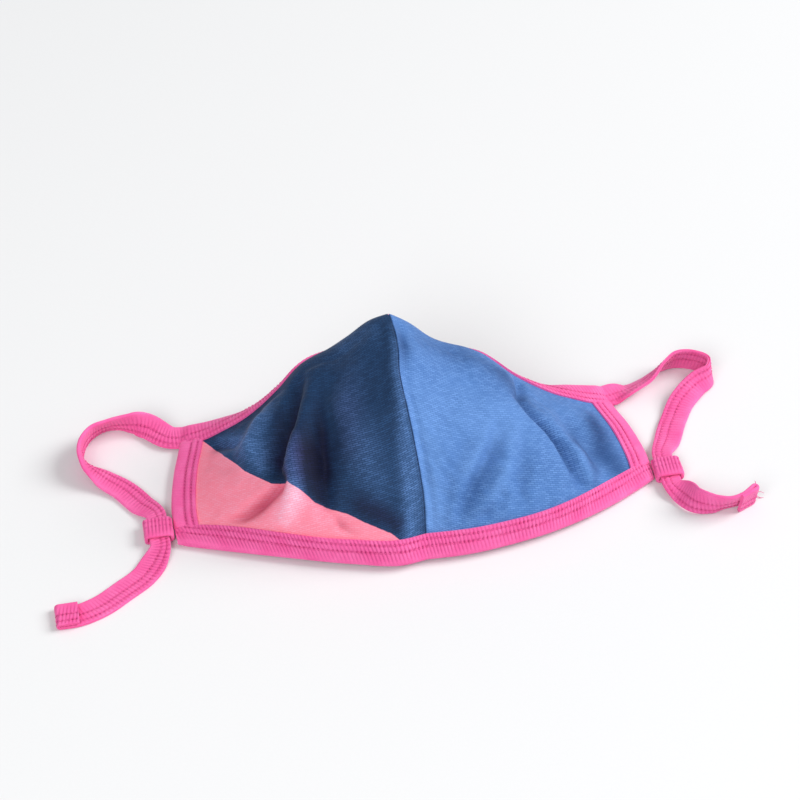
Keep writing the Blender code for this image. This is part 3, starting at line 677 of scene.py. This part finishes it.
def makePanel(side, finish):
    # The sheet moved along its normals by folds, unevenness, puckers along the tape and the turn at
    # the seam. u is crowded towards the seam; v stops short of the bindings' folds
    intoPanel = 6           # columns in from the seam, to tell which way the panel lies
    t = np.linspace(0, 1, panel["columns"])
    crowding = panel["crowding"]
    u = (t * (1 - crowding) + crowding * t ** 3) * (1 - clothInset / mask["halfWidth"])
    span = mask["depth"] * (mask["seamSpan"] + (mask["sideSpan"] - mask["seamSpan"]) * u)
    inset = (clothInset / span)[:, None]
    v = inset + (1 - 2 * inset) * np.linspace(0, 1, panel["rows"])
    u = np.tile(u[:, None], (1, panel["rows"]))
    sheet = clothSheet(side, u, v)
    normal = outward(side, clothSheet, u, v)
    fromSeam = runAlong(sheet)
    upCloth = runAlong(sheet.swapaxes(0, 1)).T
    upCloth = upCloth - upCloth[:, panel["rows"] // 2][:, None]
    mean = seamNormal(v[0])
    blend = bell(fromSeam, 0, panel["seamBlend"])[..., None]
    normal = unit(normal * (1 - blend) + mean * blend)

    inward = np.minimum((1 - u) * mask["halfWidth"], np.minimum(v, 1 - v) * span[:, None])
    ease = smoothStep(panel["foldMargin"], panel["foldMargin"] + panel["foldEase"], inward)
    relief = sum(foldHeight(rows, u, v) for rows in folds[side])
    # Painted shade in the fold valleys (hollow) and painted highlight on the fold crests (crest)
    hollow = np.clip(-relief * ease / panel["hollowDepth"], 0, 1) ** panel["hollowPower"]
    hollow = hollow * panel["hollowShare"][side]
    crest = np.clip(relief * ease / panel["crestHeight"], 0, 1)
    for height, length, count, seed in panel["uneven"]:
        relief = relief + height * waves(fromSeam, upCloth, length, count, seed + signOf(side))
    relief = relief * ease
    pastTape = np.maximum(inward - tape["width"], 0)
    around = np.where(inward == (1 - u) * mask["halfWidth"], upCloth, fromSeam)
    drift = 2 * np.sin(around / panel["puckerDrift"])
    pucker = np.sin(2 * math.pi * around / panel["puckerPitch"] + drift)
    relief = relief + panel["pucker"] * pucker * np.exp(-pastTape / panel["puckerReach"]) * ease

    radius = panel["turnIn"][side]
    turning = np.clip(1 - fromSeam / radius, 0, 1)
    pull = 1 - panel["bite"] + panel["bite"] * np.sin(upCloth / panel["bitePitch"])
    crease = -radius * (1 - np.sqrt(1 - turning ** 2)) * pull
    ridge = panel["ridge"][side] * bell(fromSeam, panel["ridgeAt"], panel["ridgeWidth"])
    plain = np.full(u.shape, panel["plainBorder"])
    border = borderDistance(u, v) if side == "left" else plain
    # Painted shade and painted highlight strokes from the tones table; the shade fades out on the printed
    # coral
    shade, glow = (1000 * sum(foldHeight(rows, u, v) for rows in tones[side][kind])
                   for kind in ("shade", "glow"))
    shade = np.clip(shade, 0, 1) * smoothStep(-panel["toneBorder"], panel["toneBorder"], border)
    # The turn at the seam also takes painted shade
    shade = np.maximum(np.maximum(hollow, shade), turning ** 2 * panel["seamShade"])
    glow = np.maximum(crest, np.clip(glow, 0, 1))
    middle = sheet + normal * (relief + crease + ridge * ease)[..., None]
    across = unit(np.cross(np.gradient(sheet[0], axis=0), mean)) * signOf(side)
    across = across * np.sign((across * (sheet[intoPanel] - sheet[0])).sum(-1, keepdims=True))
    middle[0] += across * panel["seamGap"]

    half = mask["cloth"] / 2
    outer, inner = middle + normal * half, middle - normal * half
    uv = np.stack((fromSeam * signOf(side), upCloth), -1)
    rows, columns = u.shape
    floats = {
        "border": np.concatenate((border.ravel(), plain.ravel())),
        "shade": np.concatenate((shade.ravel(), np.zeros(u.size))),
        "crest": np.concatenate((glow.ravel(), np.zeros(u.size))),
    }
    points = np.concatenate((outer.reshape(-1, 3), inner.reshape(-1, 3)))
    piece = addPiece(side + "_cloth", points, wallFaces(rows, columns, uv), finish, floats)
    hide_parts(side + "_panel")
    width, length = fromSeam[-1].max(), np.ptp(upCloth, axis=1).max()
    patches = np.cross(np.gradient(sheet, axis=0), np.gradient(sheet, axis=1))
    return piece, (width, length, np.linalg.norm(patches, axis=-1).sum())


leftCloth, leftCut = makePanel("left", shadedBlueKnit)
rightCloth, rightCut = makePanel("right", blueKnit)
print("panels made, cut sizes in mm:", np.round(np.array(leftCut[:2] + rightCut[:2]) * 1000, 1))


# Tapes
knitRelief = {
    "drift": 0.35, "driftLength": 0.0097,       # ribs stray from an even pitch, in ribs
    "patchy": 0.45, "patchLengths": (0.0171, 0.0063),   # and fade in places along the tape
    "edgeFade": (0.0008, 0.0036),   # and near the folded edge
    "ribGroove": 0.85,      # share of the full groove tone between ribs
    "holeShare": 0.6,       # share of a stitch row's depth that its needle holes take
    "beadWidth": 0.0009,
    "swellAt": 0.0030, "swellWidth": 0.0018,
    "ripple": 0.00007, "rippleLengths": (0.0041, 0.019), "rippleEase": 0.005,
}


def tapeRelief(run, inset, look):
    # Height of a tape's face, and the painted shade in its grooves: ribs are a raised cosine, squared,
    # along the tape, fading at the folded edge, and each stitch row is a bell across it with needle
    # holes as another raised cosine, squared. A bead, a swell and a ripple are added on top
    drift = knitRelief["drift"] * np.sin(run / knitRelief["driftLength"])
    phase = run / tape["ribPitch"] + drift + look["slant"] * inset / tape["ribPitch"]
    rib = (0.5 - 0.5 * np.cos(2 * math.pi * phase)) ** 2
    patchy, (long, short) = knitRelief["patchy"], knitRelief["patchLengths"]
    patch = 1 - patchy + patchy * np.sin(run / long + look["seed"]) * np.sin(run / short + 1.0)
    fade = smoothStep(*knitRelief["edgeFade"], inset) * (patchy + (1 - patchy) * patch)
    fade = look["plain"] + (1 - look["plain"]) * fade
    height = -look["ribDepth"] * rib * fade
    groove = knitRelief["ribGroove"] * look["ribShade"] * rib * fade
    hole = (0.5 + 0.5 * np.cos(2 * math.pi * run / tape["stitchPitch"])) ** 2
    share = knitRelief["holeShare"]
    for row in tape["rows"]:
        sunk = bell(inset, row, tape["rowWidth"])
        height = height - look["rowDepth"] * sunk * (1 - share + share * hole)
        groove = groove + look["rowShade"] * sunk * (look["line"] + (1 - look["line"]) * hole)
    between = (tape["rows"][0] + tape["rows"][1]) / 2
    height = height + look["bead"] * bell(inset, between, knitRelief["beadWidth"])
    height = height + look["swell"] * bell(inset, knitRelief["swellAt"], knitRelief["swellWidth"])
    short, long = knitRelief["rippleLengths"]
    ripple = knitRelief["ripple"] * np.sin(run / short + 3 * np.sin(run / long))
    height = height + ripple * smoothStep(0.0, knitRelief["rippleEase"], inset)
    return height, np.clip(groove, 0, 1)


bindingLook = {
    "bottom": {"ribDepth": 0.00024, "ribShade": 0.80, "rowDepth": 0.00030, "bead": 0.00008,
               "rowShade": 0.95, "line": 0.05, "swell": 0.00010, "slant": 0.25, "plain": 0.15, "seed": 0.4},
    "top": {"ribDepth": 0.00020, "ribShade": 0.70, "rowDepth": 0.00026, "bead": 0.00006,
            "rowShade": 0.90, "line": 0.10, "swell": 0.00008, "slant": -0.2, "plain": 0.10, "seed": 2.1},
    "side": {"ribDepth": 0.00005, "ribShade": 0.14, "rowDepth": 0.00050, "bead": 0.00030,
             "rowShade": 1.0, "line": 0.70, "swell": 0.00022, "slant": 0.1, "plain": 0.0, "seed": 4.0},
}
tapeProfile = {
    "upper": 24, "fold": 9, "lower": 9,     # points across the upper leg, the fold and the lower leg
    "edgeSteps": 400, "sideSteps": 200,     # points that an edge's length is measured by
    "seamBlend": 0.0055,    # normals turn to the seam's over this length
    "press": 0.9, "pressWidth": 0.0016,     # share of the gap closed, and from where to the inner edge
    "pinch": 0.0042,        # a long binding flattens over this length at its ends
    "dive": 0.0030,         # a side binding sinks under the long ones over this length
    "diveDepth": 0.00055,
    "tuck": 0.8,            # share of the dive that lies under a long binding
}


def tapeOver(side, edge, along, lower):
    # The middle of a tape folded over an edge: two legs parallel to the cloth, joined by a half
    # circle round the edge. lower scales the legs' height off the cloth at each station.
    rim = np.linspace(tape["width"], foldRadius, tapeProfile["upper"])
    back = np.linspace(foldRadius, tape["width"], tapeProfile["lower"])
    turn = np.linspace(0, math.pi, tapeProfile["fold"] + 2)[1:-1]
    inset = np.concatenate((rim, np.full(tapeProfile["fold"], foldRadius), back))
    angle = np.concatenate((np.zeros_like(rim), turn, np.full_like(back, math.pi)))
    share = sharesIn(side, edge, along, inset)
    other = np.tile(along[:, None], (1, len(inset)))
    u, v = (share, other) if edge == "side" else (other, share)
    spots = clothSheet(side, u, v)
    normals = outward(side, clothSheet, u, v)
    if edge == "side":
        brim = clothSheet(side, np.ones_like(along), along)
    else:
        brim = clothSheet(side, along, np.full_like(along, 0.0 if edge == "bottom" else 1.0))
        run = runAlong(brim)
        blend = bell(run, 0, tapeProfile["seamBlend"])[:, None, None]
        normals = unit(normals * (1 - blend) + seamNormal(share[0]) * blend)
    fold = tapeProfile["upper"]
    inward = unit(spots[:, fold] - brim)[:, None]
    press = smoothStep(tape["width"] - tapeProfile["pressWidth"], tape["width"], inset)
    press = press * mask["gap"] * tapeProfile["press"]
    height = (legOffset * lower[:, None] - press) * np.cos(angle)
    out = legOffset * np.sin(angle)[None, :]
    middle = spots + normals * height[..., None] - inward * out[..., None]
    facing = unit(normals * np.cos(angle)[None, :, None] - inward * np.sin(angle)[None, :, None])
    onLeg = (angle == 0) | (angle == math.pi)
    reach = np.where(onLeg, inset, foldRadius * (1 - np.sin(angle)))
    return middle, facing, reach, runAlong(brim)


def addTape(name, node, middle, facing, reach, run, look):
    # Thickens a tape's middle to both sides along its facing, with the relief on its outer face
    height, groove = tapeRelief(run[:, None], reach[None, :], look)
    outer = middle + facing * (tape["layer"] / 2 + height)[..., None]
    inner = middle - facing * (tape["layer"] / 2)
    profile = runAlong(middle.swapaxes(0, 1)).T
    uv = np.stack((np.broadcast_to(run[:, None], profile.shape), profile), -1)
    points = np.concatenate((outer.reshape(-1, 3), inner.reshape(-1, 3)))
    floats = {"groove": np.concatenate((groove.ravel(), groove.ravel() * 0))}
    piece = addPiece(name, points, wallFaces(*profile.shape, uv), pinkKnit, floats)
    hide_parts(node)
    flat = (float(profile[:, -1].max()), float(np.ptp(run)))
    return piece, flat, outer


def makeLongBinding(edge):
    # The chin or nose edge's tape, as two halves that meet at the seam; at its outer ends the legs
    # come down to half a layer off the cloth's middle
    halves = []
    for side in ("left", "right"):
        shares = np.linspace(0, 1, tapeProfile["edgeSteps"])
        line = edgeLine(side + ("_bottom" if edge == "bottom" else "_top_edge"), shares)
        length = runAlong(line)[-1]
        along = np.append(np.interp(np.arange(0, length, tape["step"]), runAlong(line), shares), 1.0)
        flat = tape["layer"] / 2 / legOffset
        lower = flat + (1 - flat) * smoothStep(0.0, tapeProfile["pinch"], (1 - along) * length)
        halves.append(tapeOver(side, edge, along, lower))
    (leftMiddle, leftFacing, reach, leftRun), (rightMiddle, rightFacing, _, rightRun) = halves
    middle = np.concatenate((leftMiddle[::-1], rightMiddle[1:]))
    facing = np.concatenate((leftFacing[::-1], rightFacing[1:]))
    run = np.concatenate((-leftRun[::-1], rightRun[1:]))
    name = edge + "_binding"
    return addTape(name + "_tape", name, middle, facing, reach, run, bindingLook[edge])


def makeSideBinding(side):
    # A short side's tape between the long ones, its legs sinking at both ends to lie under them
    inset = np.array((tape["width"] - tapeProfile["dive"] * tapeProfile["tuck"],))
    low, high = (sharesIn(side, edge, np.ones(1), inset)[0, 0] for edge in ("bottom", "top"))
    line = edgeLine(side + "_side", np.linspace(low, high, tapeProfile["sideSteps"]))
    length = runAlong(line)[-1]
    count = int(length / tape["step"])
    along = np.linspace(low, high, count)
    fromEnd = np.minimum(np.linspace(0, length, count), np.linspace(length, 0, count))
    dive = 1 - smoothStep(0.0, tapeProfile["dive"], fromEnd)
    lower = 1 - dive * tapeProfile["diveDepth"] / legOffset
    middle, facing, reach, run = tapeOver(side, "side", along, lower)
    return addTape(side + "_side_tape", side + "_side_binding", middle, facing, reach, run,
                   bindingLook["side"])


tapes = {"bottom": makeLongBinding("bottom"), "top": makeLongBinding("top"),
         "left_side": makeSideBinding("left"), "right_side": makeSideBinding("right")}
print("bindings made")


# Ear straps and keepers
loops = {
    "left": [
        (0.110, 0.745, 45), (0.290, 0.763, 88), (0.580, 0.770, 112), (0.780, 0.730, 102),
        (0.905, 0.655, 92), (0.935, 0.580, 82), (0.860, 0.515, 48), (0.700, 0.455, 14),
        (0.480, 0.375, 2), (0.310, 0.275, 0)],
    "right": [
        (0.010, 0.562, -28), (0.250, 0.598, -42), (0.500, 0.668, -66), (0.710, 0.702, -84),
        (0.930, 0.682, -92), (1.085, 0.625, -88), (1.065, 0.570, -72), (0.870, 0.525, -46),
        (0.640, 0.455, -14), (0.460, 0.350, 0), (0.280, 0.215, 0)],
}
tails = {
    "left": [
        (0.068, -0.285, 0), (0.150, -0.398, 0), (0.320, -0.523, 0), (0.535, -0.656, 0),
        (0.700, -0.704, 0), (0.820, -0.705, 0)],
    "right": [
        (0.052, -0.260, 26), (0.123, -0.410, 62), (0.244, -0.473, 92), (0.344, -0.479, 110),
        (0.446, -0.465, 108), (0.560, -0.414, 96)],
}
strapLook = {
    "left": {"ribDepth": 0.00020, "ribShade": 0.62, "rowDepth": 0.00026, "bead": 0.00010,
             "rowShade": 0.80, "line": 0.30, "swell": 0.00010, "slant": 0.2, "plain": 0.05, "seed": 1.1},
    "right": {"ribDepth": 0.00015, "ribShade": 0.45, "rowDepth": 0.00024, "bead": 0.00008,
              "rowShade": 0.60, "line": 0.25, "swell": 0.00008, "slant": -0.2, "plain": 0.05, "seed": 3.3},
}
keeperLook = {"ribDepth": 0.00024, "ribShade": 0.85, "rowDepth": 0.00016, "bead": 0.0,
              "rowShade": 0.50, "line": 0.10, "swell": 0.00008, "slant": 0.05, "plain": 0.35, "seed": 0.9}


# Points along a strap's route, in its running mean, round its end's turn and on its hem, and points
# across one face of the folded tape
strapSteps = {"route": 1400, "smooth": 41, "turn": 14, "hem": 40, "face": 24}


def restHeight(roll):  # a strap's middle height when its lowest side touches the surface
    lean = np.radians(roll)
    flatPart = strapThickness / 2 * np.abs(np.cos(lean))
    return (tape["width"] / 2 + mask["gap"]) * np.abs(np.sin(lean)) + flatPart


def strapRoute(side):
    # Rows of x, y, z, roll and width: out of the top corner, round the loop, through the keeper
    sign = signOf(side)
    v = sharesIn(side, "top", np.array((1.0,)), np.array((tape["width"] / 2, tape["width"])))[0]
    middle, inner = clothSheet(side, np.ones(2), v)
    corner = clothSheet(side, np.array((1.0,)), np.array((1.0,)))[0]
    width = unit(corner - inner)
    heading = unit(np.cross(width, (0, 0, 1))) * sign
    roll = math.degrees(math.asin(width[2]))
    full = tape["width"]
    rows = [(*(middle - heading * mask["gap"]), roll, full),
            (*(middle + heading * ears["leadIn"]), roll, full)]
    for out, back, roll in loops[side]:
        x = sign * (mask["halfWidth"] + out * ears["loopReach"])
        rows.append((x, back * mask["depth"], restHeight(roll), roll, full))
    keeper = keeperMiddle(side)
    for step in ears["straight"]:
        rows.append((*(keeper + (0, step * ears["keeperLength"], 0)), 0, ears["gather"] * full))
    for out, back, roll in tails[side]:
        x, y = keeper[0] + sign * out * ears["tailLength"], keeper[1] + back * ears["tailLength"]
        rows.append((x, y, restHeight(roll), roll, full))
    return np.array(rows)


def halfSection():
    # One half of a folded tape's section, from the notch between its two edges out to the fold:
    # distance from the inner edge, height, and how much of the relief it takes
    half = strapThickness / 2
    lip = [(0.00045, 0.00003, 0), (0.00008, 0.00022, 0), (0.0, 0.00045, 0.1), (0.00016, 0.00068, 0.4)]
    face = [(x, half, 1) for x in np.linspace(0.0006, tape["width"] - half, strapSteps["face"])]
    turn = [(tape["width"] - half + half * math.sin(a), half * math.cos(a), math.cos(a))
            for a in np.radians((20, 40, 58, 75, 88))]
    return np.array(lip + face + turn)


notchUv = 0.0001            # UV length given to the notch between a folded tape's edges


def sweepTape(name, node, line, width, normal, wide, look, closed=False):
    # A folded tape carried along a line: its section's two halves, mirrored in height, with the
    # relief pushed out along the face; closed joins the last station to the first
    run = runAlong(line)
    half = halfSection()
    if closed:
        run = np.append(run, run[-1] + np.linalg.norm(line[0] - line[-1]))
    stations = run[:len(line)]
    x = np.concatenate((half[:, 0], half[::-1, 0]))
    side = np.concatenate((np.ones(len(half)), -np.ones(len(half))))
    base = np.concatenate((half[:, 1], half[::-1, 1])) * side
    share = np.concatenate((half[:, 2], half[::-1, 2]))
    height, groove = tapeRelief(stations[:, None], (tape["width"] - x)[None, :], look)
    rise = base + height * share * side
    spread = (x - tape["width"] / 2) * (wide / tape["width"])[:, None]
    points = line[:, None] + width[:, None] * spread[..., None] + normal[:, None] * rise[..., None]
    rows, columns = points.shape[:2]
    index = np.arange(rows * columns).reshape(rows, columns)
    index = np.concatenate((index, index[:, :1]), 1)
    girth = np.concatenate(([0], np.cumsum(np.hypot(np.diff(x), np.diff(base)))))
    girth = np.append(girth, girth[-1] + notchUv)
    if closed:
        index = np.concatenate((index, index[:1]))
    uv = np.stack(np.broadcast_arrays(run[:, None], girth[None, :]), -1)
    groups = [gridFaces(index, uv)]
    if not closed:
        count = len(half)
        for row, flip in ((0, False), (rows - 1, True)):
            cap = np.stack((index[row, :count], index[row, columns - 1:count - 1:-1]))
            capUv = np.stack((uv[row, :count], uv[row, columns - 1:count - 1:-1]))
            quads, quadUv = gridFaces(cap, capUv)
            groups.append((quads[:, ::-1], quadUv[:, ::-1]) if flip else (quads, quadUv))
    piece = addPiece(name, points.reshape(-1, 3), groups, pinkKnit,
                     {"groove": (groove * share).ravel()})
    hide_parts(node)
    return piece, points, float(run[-1])


def makeStrap(side):
    # The route smoothed by a cubic, its heights by a running mean that never goes under the resting
    # height, then a half circle up and over, and the hem laid back on the tail
    sign = signOf(side)
    route = strapRoute(side)
    run = runAlong(route[:, :3])
    fine = smoothTable(np.column_stack((run, route)), np.linspace(0, run[-1], strapSteps["route"]))
    line, roll, wide = fine[:, :3].copy(), fine[:, 3], fine[:, 4]
    line[:, 2] = np.maximum(line[:, 2], restHeight(roll))
    soften = np.hanning(strapSteps["smooth"])
    padded = np.pad(line[:, 2], strapSteps["smooth"] // 2, mode="edge")
    line[:, 2] = np.maximum(np.convolve(padded, soften / soften.sum(), mode="valid"), restHeight(roll))
    heading = unit(np.gradient(line, axis=0))
    level = unit(np.cross(heading, (0, 0, 1))) * -sign
    above = np.cross(heading, level) * sign
    lean = np.radians(roll)[:, None]
    width = np.cos(lean) * level + np.sin(lean) * above
    normal = np.cross(heading, width) * sign
    turn = (strapThickness + mask["gap"]) / 2
    arc = np.linspace(0, math.pi, strapSteps["turn"])[1:, None]
    end = line[-1] + heading[-1] * turn * np.sin(arc) + normal[-1] * turn * (1 - np.cos(arc))
    bent = normal[-1] * np.cos(arc) - heading[-1] * np.sin(arc)
    steps = np.linspace(0, 1, strapSteps["hem"])[1:, None]
    back = end[-1] - heading[-1] * ears["hemLength"] * steps
    line = np.concatenate((line, end, back))
    normal = np.concatenate((normal, bent, np.tile(bent[-1], (len(back), 1))))
    width = np.concatenate((width, np.tile(width[-1], (len(end) + len(back), 1))))
    wide = np.concatenate((wide, np.full(len(end) + len(back), wide[-1])))
    run = runAlong(line)
    at = np.linspace(0, run[-1], int(run[-1] / tape["step"]))
    line, width = alongRun(run, line, at), unit(alongRun(run, width, at))
    normal, wide = unit(alongRun(run, normal, at)), np.interp(at, run, wide)
    return sweepTape(side + "_strap_tape", side + "_ear_strap", line, width, normal, wide, strapLook[side])


def makeKeeper(side):
    # A closed ring: a rounded oblong, |x/a|^p + |z/b|^p = 1, round the strap, the tape's width lying
    # along the strap
    middle = keeperMiddle(side)
    half = np.array((ears["gather"] * tape["width"] / 2, strapThickness / 2))
    half = half + mask["gap"] + strapThickness / 2
    angle = np.linspace(0, 2 * math.pi, ears["ringSteps"], endpoint=False)
    power = 2 / ears["keeperPower"]
    ring = np.stack((half[0] * np.sign(np.cos(angle)) * np.abs(np.cos(angle)) ** power,
                     half[1] * np.sign(np.sin(angle)) * np.abs(np.sin(angle)) ** power), -1)
    run = np.append(runAlong(ring), 0)
    run[-1] = run[-2] + np.linalg.norm(ring[0] - ring[-1])
    count = ears["keeperStations"]
    at = np.linspace(0, run[-1], count, endpoint=False)
    ring = alongRun(run, np.vstack((ring, ring[:1])), at)
    line = np.stack((middle[0] + ring[:, 0], np.full(count, middle[1]), middle[2] + ring[:, 1]), -1)
    ahead = unit(np.roll(line, -1, axis=0) - np.roll(line, 1, axis=0))
    width = np.tile((0.0, -1.0, 0.0), (count, 1))
    normal = unit(np.cross(width, ahead))
    wide = np.full(count, ears["keeperLength"])
    return sweepTape(side + "_keeper_tape", side + "_keeper", line, width, normal, wide, keeperLook, True)


straps = {"left": makeStrap("left"), "right": makeStrap("right")}
keepers = {"left": makeKeeper("left"), "right": makeKeeper("right")}
print("straps made, lengths in mm:", [round(strap[2] * 1000, 1) for strap in straps.values()])


# Stitches: short bent threads from one needle hole to the next
stitch = {
    "length": 0.00135,      # seen part of one stitch
    "radius": 0.00017,
    "arch": 0.00016,        # how far its middle stands above its holes
    "sides": 5, "rings": 5,
    "hold": 0.00002,        # stands this far off the tape's face
}
threadTaper = 0.45          # how much of its radius a thread loses at its ends
threadTip = 0.06            # share of a thread between its end ring and its hole


def stitchThreads(places, tangents, normals, sizes):
    # Tubes carried along a sine arch: ring centres at place + tangent * x + normal * arch * sin,
    # with their radius narrowed to the ends, and a point closing each end
    t = np.linspace(threadTip, 1 - threadTip, sizes["rings"])
    angle = np.linspace(0, 2 * math.pi, sizes["sides"], endpoint=False)
    sideways = unit(np.cross(normals, tangents))
    lean = (t - 0.5) * sizes["length"]
    lift = sizes["arch"] * np.sin(math.pi * t)
    radius = sizes["radius"] * (1 - threadTaper + threadTaper * np.sin(math.pi * t))
    centre = places[:, None] + tangents[:, None] * lean[:, None] + normals[:, None] * lift[:, None]
    ring = sideways[:, None] * np.cos(angle)[:, None] + normals[:, None] * np.sin(angle)[:, None]
    tube = centre[:, :, None] + ring[:, None] * radius[None, :, None, None]
    count, rings, sides = tube.shape[:3]
    reach = tangents * sizes["radius"]
    tips = np.stack((centre[:, 0] - reach, centre[:, -1] + reach), 1)
    points = np.concatenate((tube.reshape(count, -1, 3), tips), 1)
    index = np.arange(rings * sides).reshape(rings, sides)
    index = np.concatenate((index, index[:, :1]), 1)
    uv = np.stack(np.broadcast_arrays((t * sizes["length"])[:, None],
                                      np.linspace(0, 2 * math.pi * sizes["radius"], sides + 1)[None]), -1)
    quads, quadUv = gridFaces(index, uv)
    first = np.stack((index[0, :-1], index[0, 1:], np.full(sides, rings * sides)), 1)
    last = np.stack((index[-1, 1:], index[-1, :-1], np.full(sides, rings * sides + 1)), 1)
    tris = np.concatenate((first, last))
    triUv = np.zeros((len(tris), 3, 2))
    shift = (np.arange(count) * points.shape[1])[:, None, None]
    return points.reshape(-1, 3), [
        ((quads[None] + shift).reshape(-1, 4), np.tile(quadUv, (count, 1, 1))),
        ((tris[None] + shift).reshape(-1, 3), np.tile(triUv, (count, 1, 1)))]


def stitchLine(face, column, skip):
    # Places along one column of a tape's face, a stitch pitch apart, with tangents and normals
    line = face[:, column]
    beside = face[:, column + 1] - face[:, column - 1]
    run = runAlong(line)
    at = np.arange(skip + tape["stitchPitch"], run[-1] - skip - tape["stitchPitch"], tape["stitchPitch"])
    tangent = unit(alongRun(run, np.gradient(line, axis=0), at))
    normal = unit(np.cross(tangent, alongRun(run, beside, at)))
    return alongRun(run, line, at), tangent, normal


def nearColumn(values, wanted):  # the column whose value is nearest to the wanted one
    return int(np.abs(np.asarray(values) - wanted).argmin())


def outwardFlip(face, columns):
    # Whether a column's cross product points out of the tape: compared with the step from the
    # matching place on its other face
    flips = []
    for column in columns:
        partner = face.shape[1] - 1 - column
        tangent = np.gradient(face[:, column], axis=0)
        normal = np.cross(tangent, face[:, column + 1] - face[:, column - 1])
        flips.append(np.sign(np.einsum("ij,ij->", normal, face[:, column] - face[:, partner])))
    return flips


def addThreads(name, threads):  # one piece of thread tubes
    piece = addPiece(name, *threads, pinkThread, sharp=80)
    return piece


def makeStitches(name, face, columns, skip):  # stitch threads along some columns of a tape's face
    parts = [stitchLine(face, column, skip) for column in columns]
    places = np.concatenate([part[0] for part in parts])
    tangents = np.concatenate([part[1] for part in parts])
    normals = np.concatenate([part[2] * flip for part, flip in zip(parts, outwardFlip(face, columns))])
    return addThreads(name, stitchThreads(places + normals * stitch["hold"], tangents, normals, stitch))


upperInset = np.linspace(tape["width"], foldRadius, tapeProfile["upper"])
lowerInset = np.linspace(foldRadius, tape["width"], tapeProfile["lower"])
lowerStart = tapeProfile["upper"] + tapeProfile["fold"]
bindingColumns = [nearColumn(upperInset, row) for row in tape["rows"]]
bindingColumns += [lowerStart + nearColumn(lowerInset, row) for row in tape["rows"]]
sectionX = halfSection()[:, 0]
strapColumns = [nearColumn(sectionX, tape["width"] - row) for row in tape["rows"]]
strapColumns += [2 * len(sectionX) - 1 - column for column in strapColumns]

for place, (_, _, face) in tapes.items():
    skip = tapeProfile["dive" if place.endswith("side") else "pinch"]
    makeStitches(place + "_stitches", face, bindingColumns, skip)
for side, (_, face, _) in straps.items():
    makeStitches(side + "_strap_stitches", face, strapColumns, 0.0)


# Frayed threads at the right strap's free end
fray = {
    "length": 0.0042, "radius": 0.00013, "arch": 0.0011, "sides": 5, "rings": 9,
    "count": 9, "seed": 7,
    "fan": 1.5,             # radians to each side of the tape's heading
    "spread": 0.6,          # share of the tape's half width that the threads come from
    "outside": 0.42,        # share of a thread's length from the hem to its middle
    "headingRows": (-65, -50), "hemRows": 60,   # the last stations: before the hem, and all of it
}


def makeFray(name, face):
    # Threads fanned about the tape's heading at its free end, each from the turn of the hem
    middle = face.mean(axis=1)
    before, after = fray["headingRows"]
    ahead = unit((middle[after] - middle[before]) * (1, 1, 0))
    beside = np.array((-ahead[1], ahead[0], 0))
    hem = middle[-fray["hemRows"]:]
    tip = hem[(hem @ ahead).argmax()]
    dice = np.random.default_rng(fray["seed"])
    turn = dice.uniform(-fray["fan"], fray["fan"], (fray["count"], 1))
    tangents = ahead * np.cos(turn) + beside * np.sin(turn)
    height = dice.uniform(-fray["spread"], fray["spread"], (fray["count"], 1)) * tape["width"] / 2
    places = tip + tangents * fray["length"] * fray["outside"] + (0, 0, 1) * height
    bend = np.sign(dice.uniform(-1, 1, (fray["count"], 1)))
    return addThreads(name, stitchThreads(places, tangents, bend * (0.0, 0.0, 1.0), fray))


rightFray = makeFray("right_strap_fray", straps["right"][1])
print("stitches made")


# Floor, lights and world
studio = {
    "floorSize": 30.0, "floorDeep": (0.80, 0.803, 0.81), "floorLit": (0.82, 0.821, 0.826),
    "world": 0.40, "worldColour": (0.98, 0.99, 1.0, 1.0),
    "keyPower": 87.0, "keySize": 1.7, "keyFrom": (2.45, 0.15, 1.80),
    "fillPower": 26.0, "fillSize": 1.3, "fillFrom": (-1.0, -1.5, 1.5),
}


def makeFloor():  # a large flat square of dull paper with a fine grain
    made, shader, node, wire = nodeTools("floor_paper")
    place = node("TexCoord").outputs["Object"]
    grain = textureAt(node, wire, place, "Noise", in_Scale=900.0, in_Detail=2.0)
    wire(mixColour(node, wire, grain.outputs[0], studio["floorDeep"], studio["floorLit"]),
         shader.inputs["Base Color"])
    setInputs(shader, {"Roughness": 0.9, "Specular IOR Level": 0.1})
    half = studio["floorSize"] / 2
    mesh = bpy.data.meshes.new("floor")
    mesh.from_pydata([(-half, -half, 0), (half, -half, 0), (half, half, 0), (-half, half, 0)], [],
                     [(0, 1, 2, 3)])
    mesh.materials.append(made)
    floor = bpy.data.objects.new("floor", mesh)
    bpy.context.scene.collection.objects.link(floor)


def addLight(kind):  # a square area light that faces the mask
    light = bpy.data.lights.new(kind + "_light", "AREA")
    light.energy = studio[kind + "Power"]
    light.size = studio[kind + "Size"]
    lamp = bpy.data.objects.new(light.name, light)
    lamp.location = studio[kind + "From"]
    lamp.rotation_euler = (-Vector(lamp.location)).to_track_quat("-Z", "Y").to_euler()
    bpy.context.scene.collection.objects.link(lamp)


makeFloor()
addLight("key")
addLight("fill")
world = bpy.data.worlds.new("studio")
world.use_nodes = True
setInputs(world.node_tree.nodes["Background"], {0: studio["worldColour"], 1: studio["world"]})
bpy.context.scene.world = world
bpy.context.scene.view_settings.view_transform = "Standard"
print("stage set")
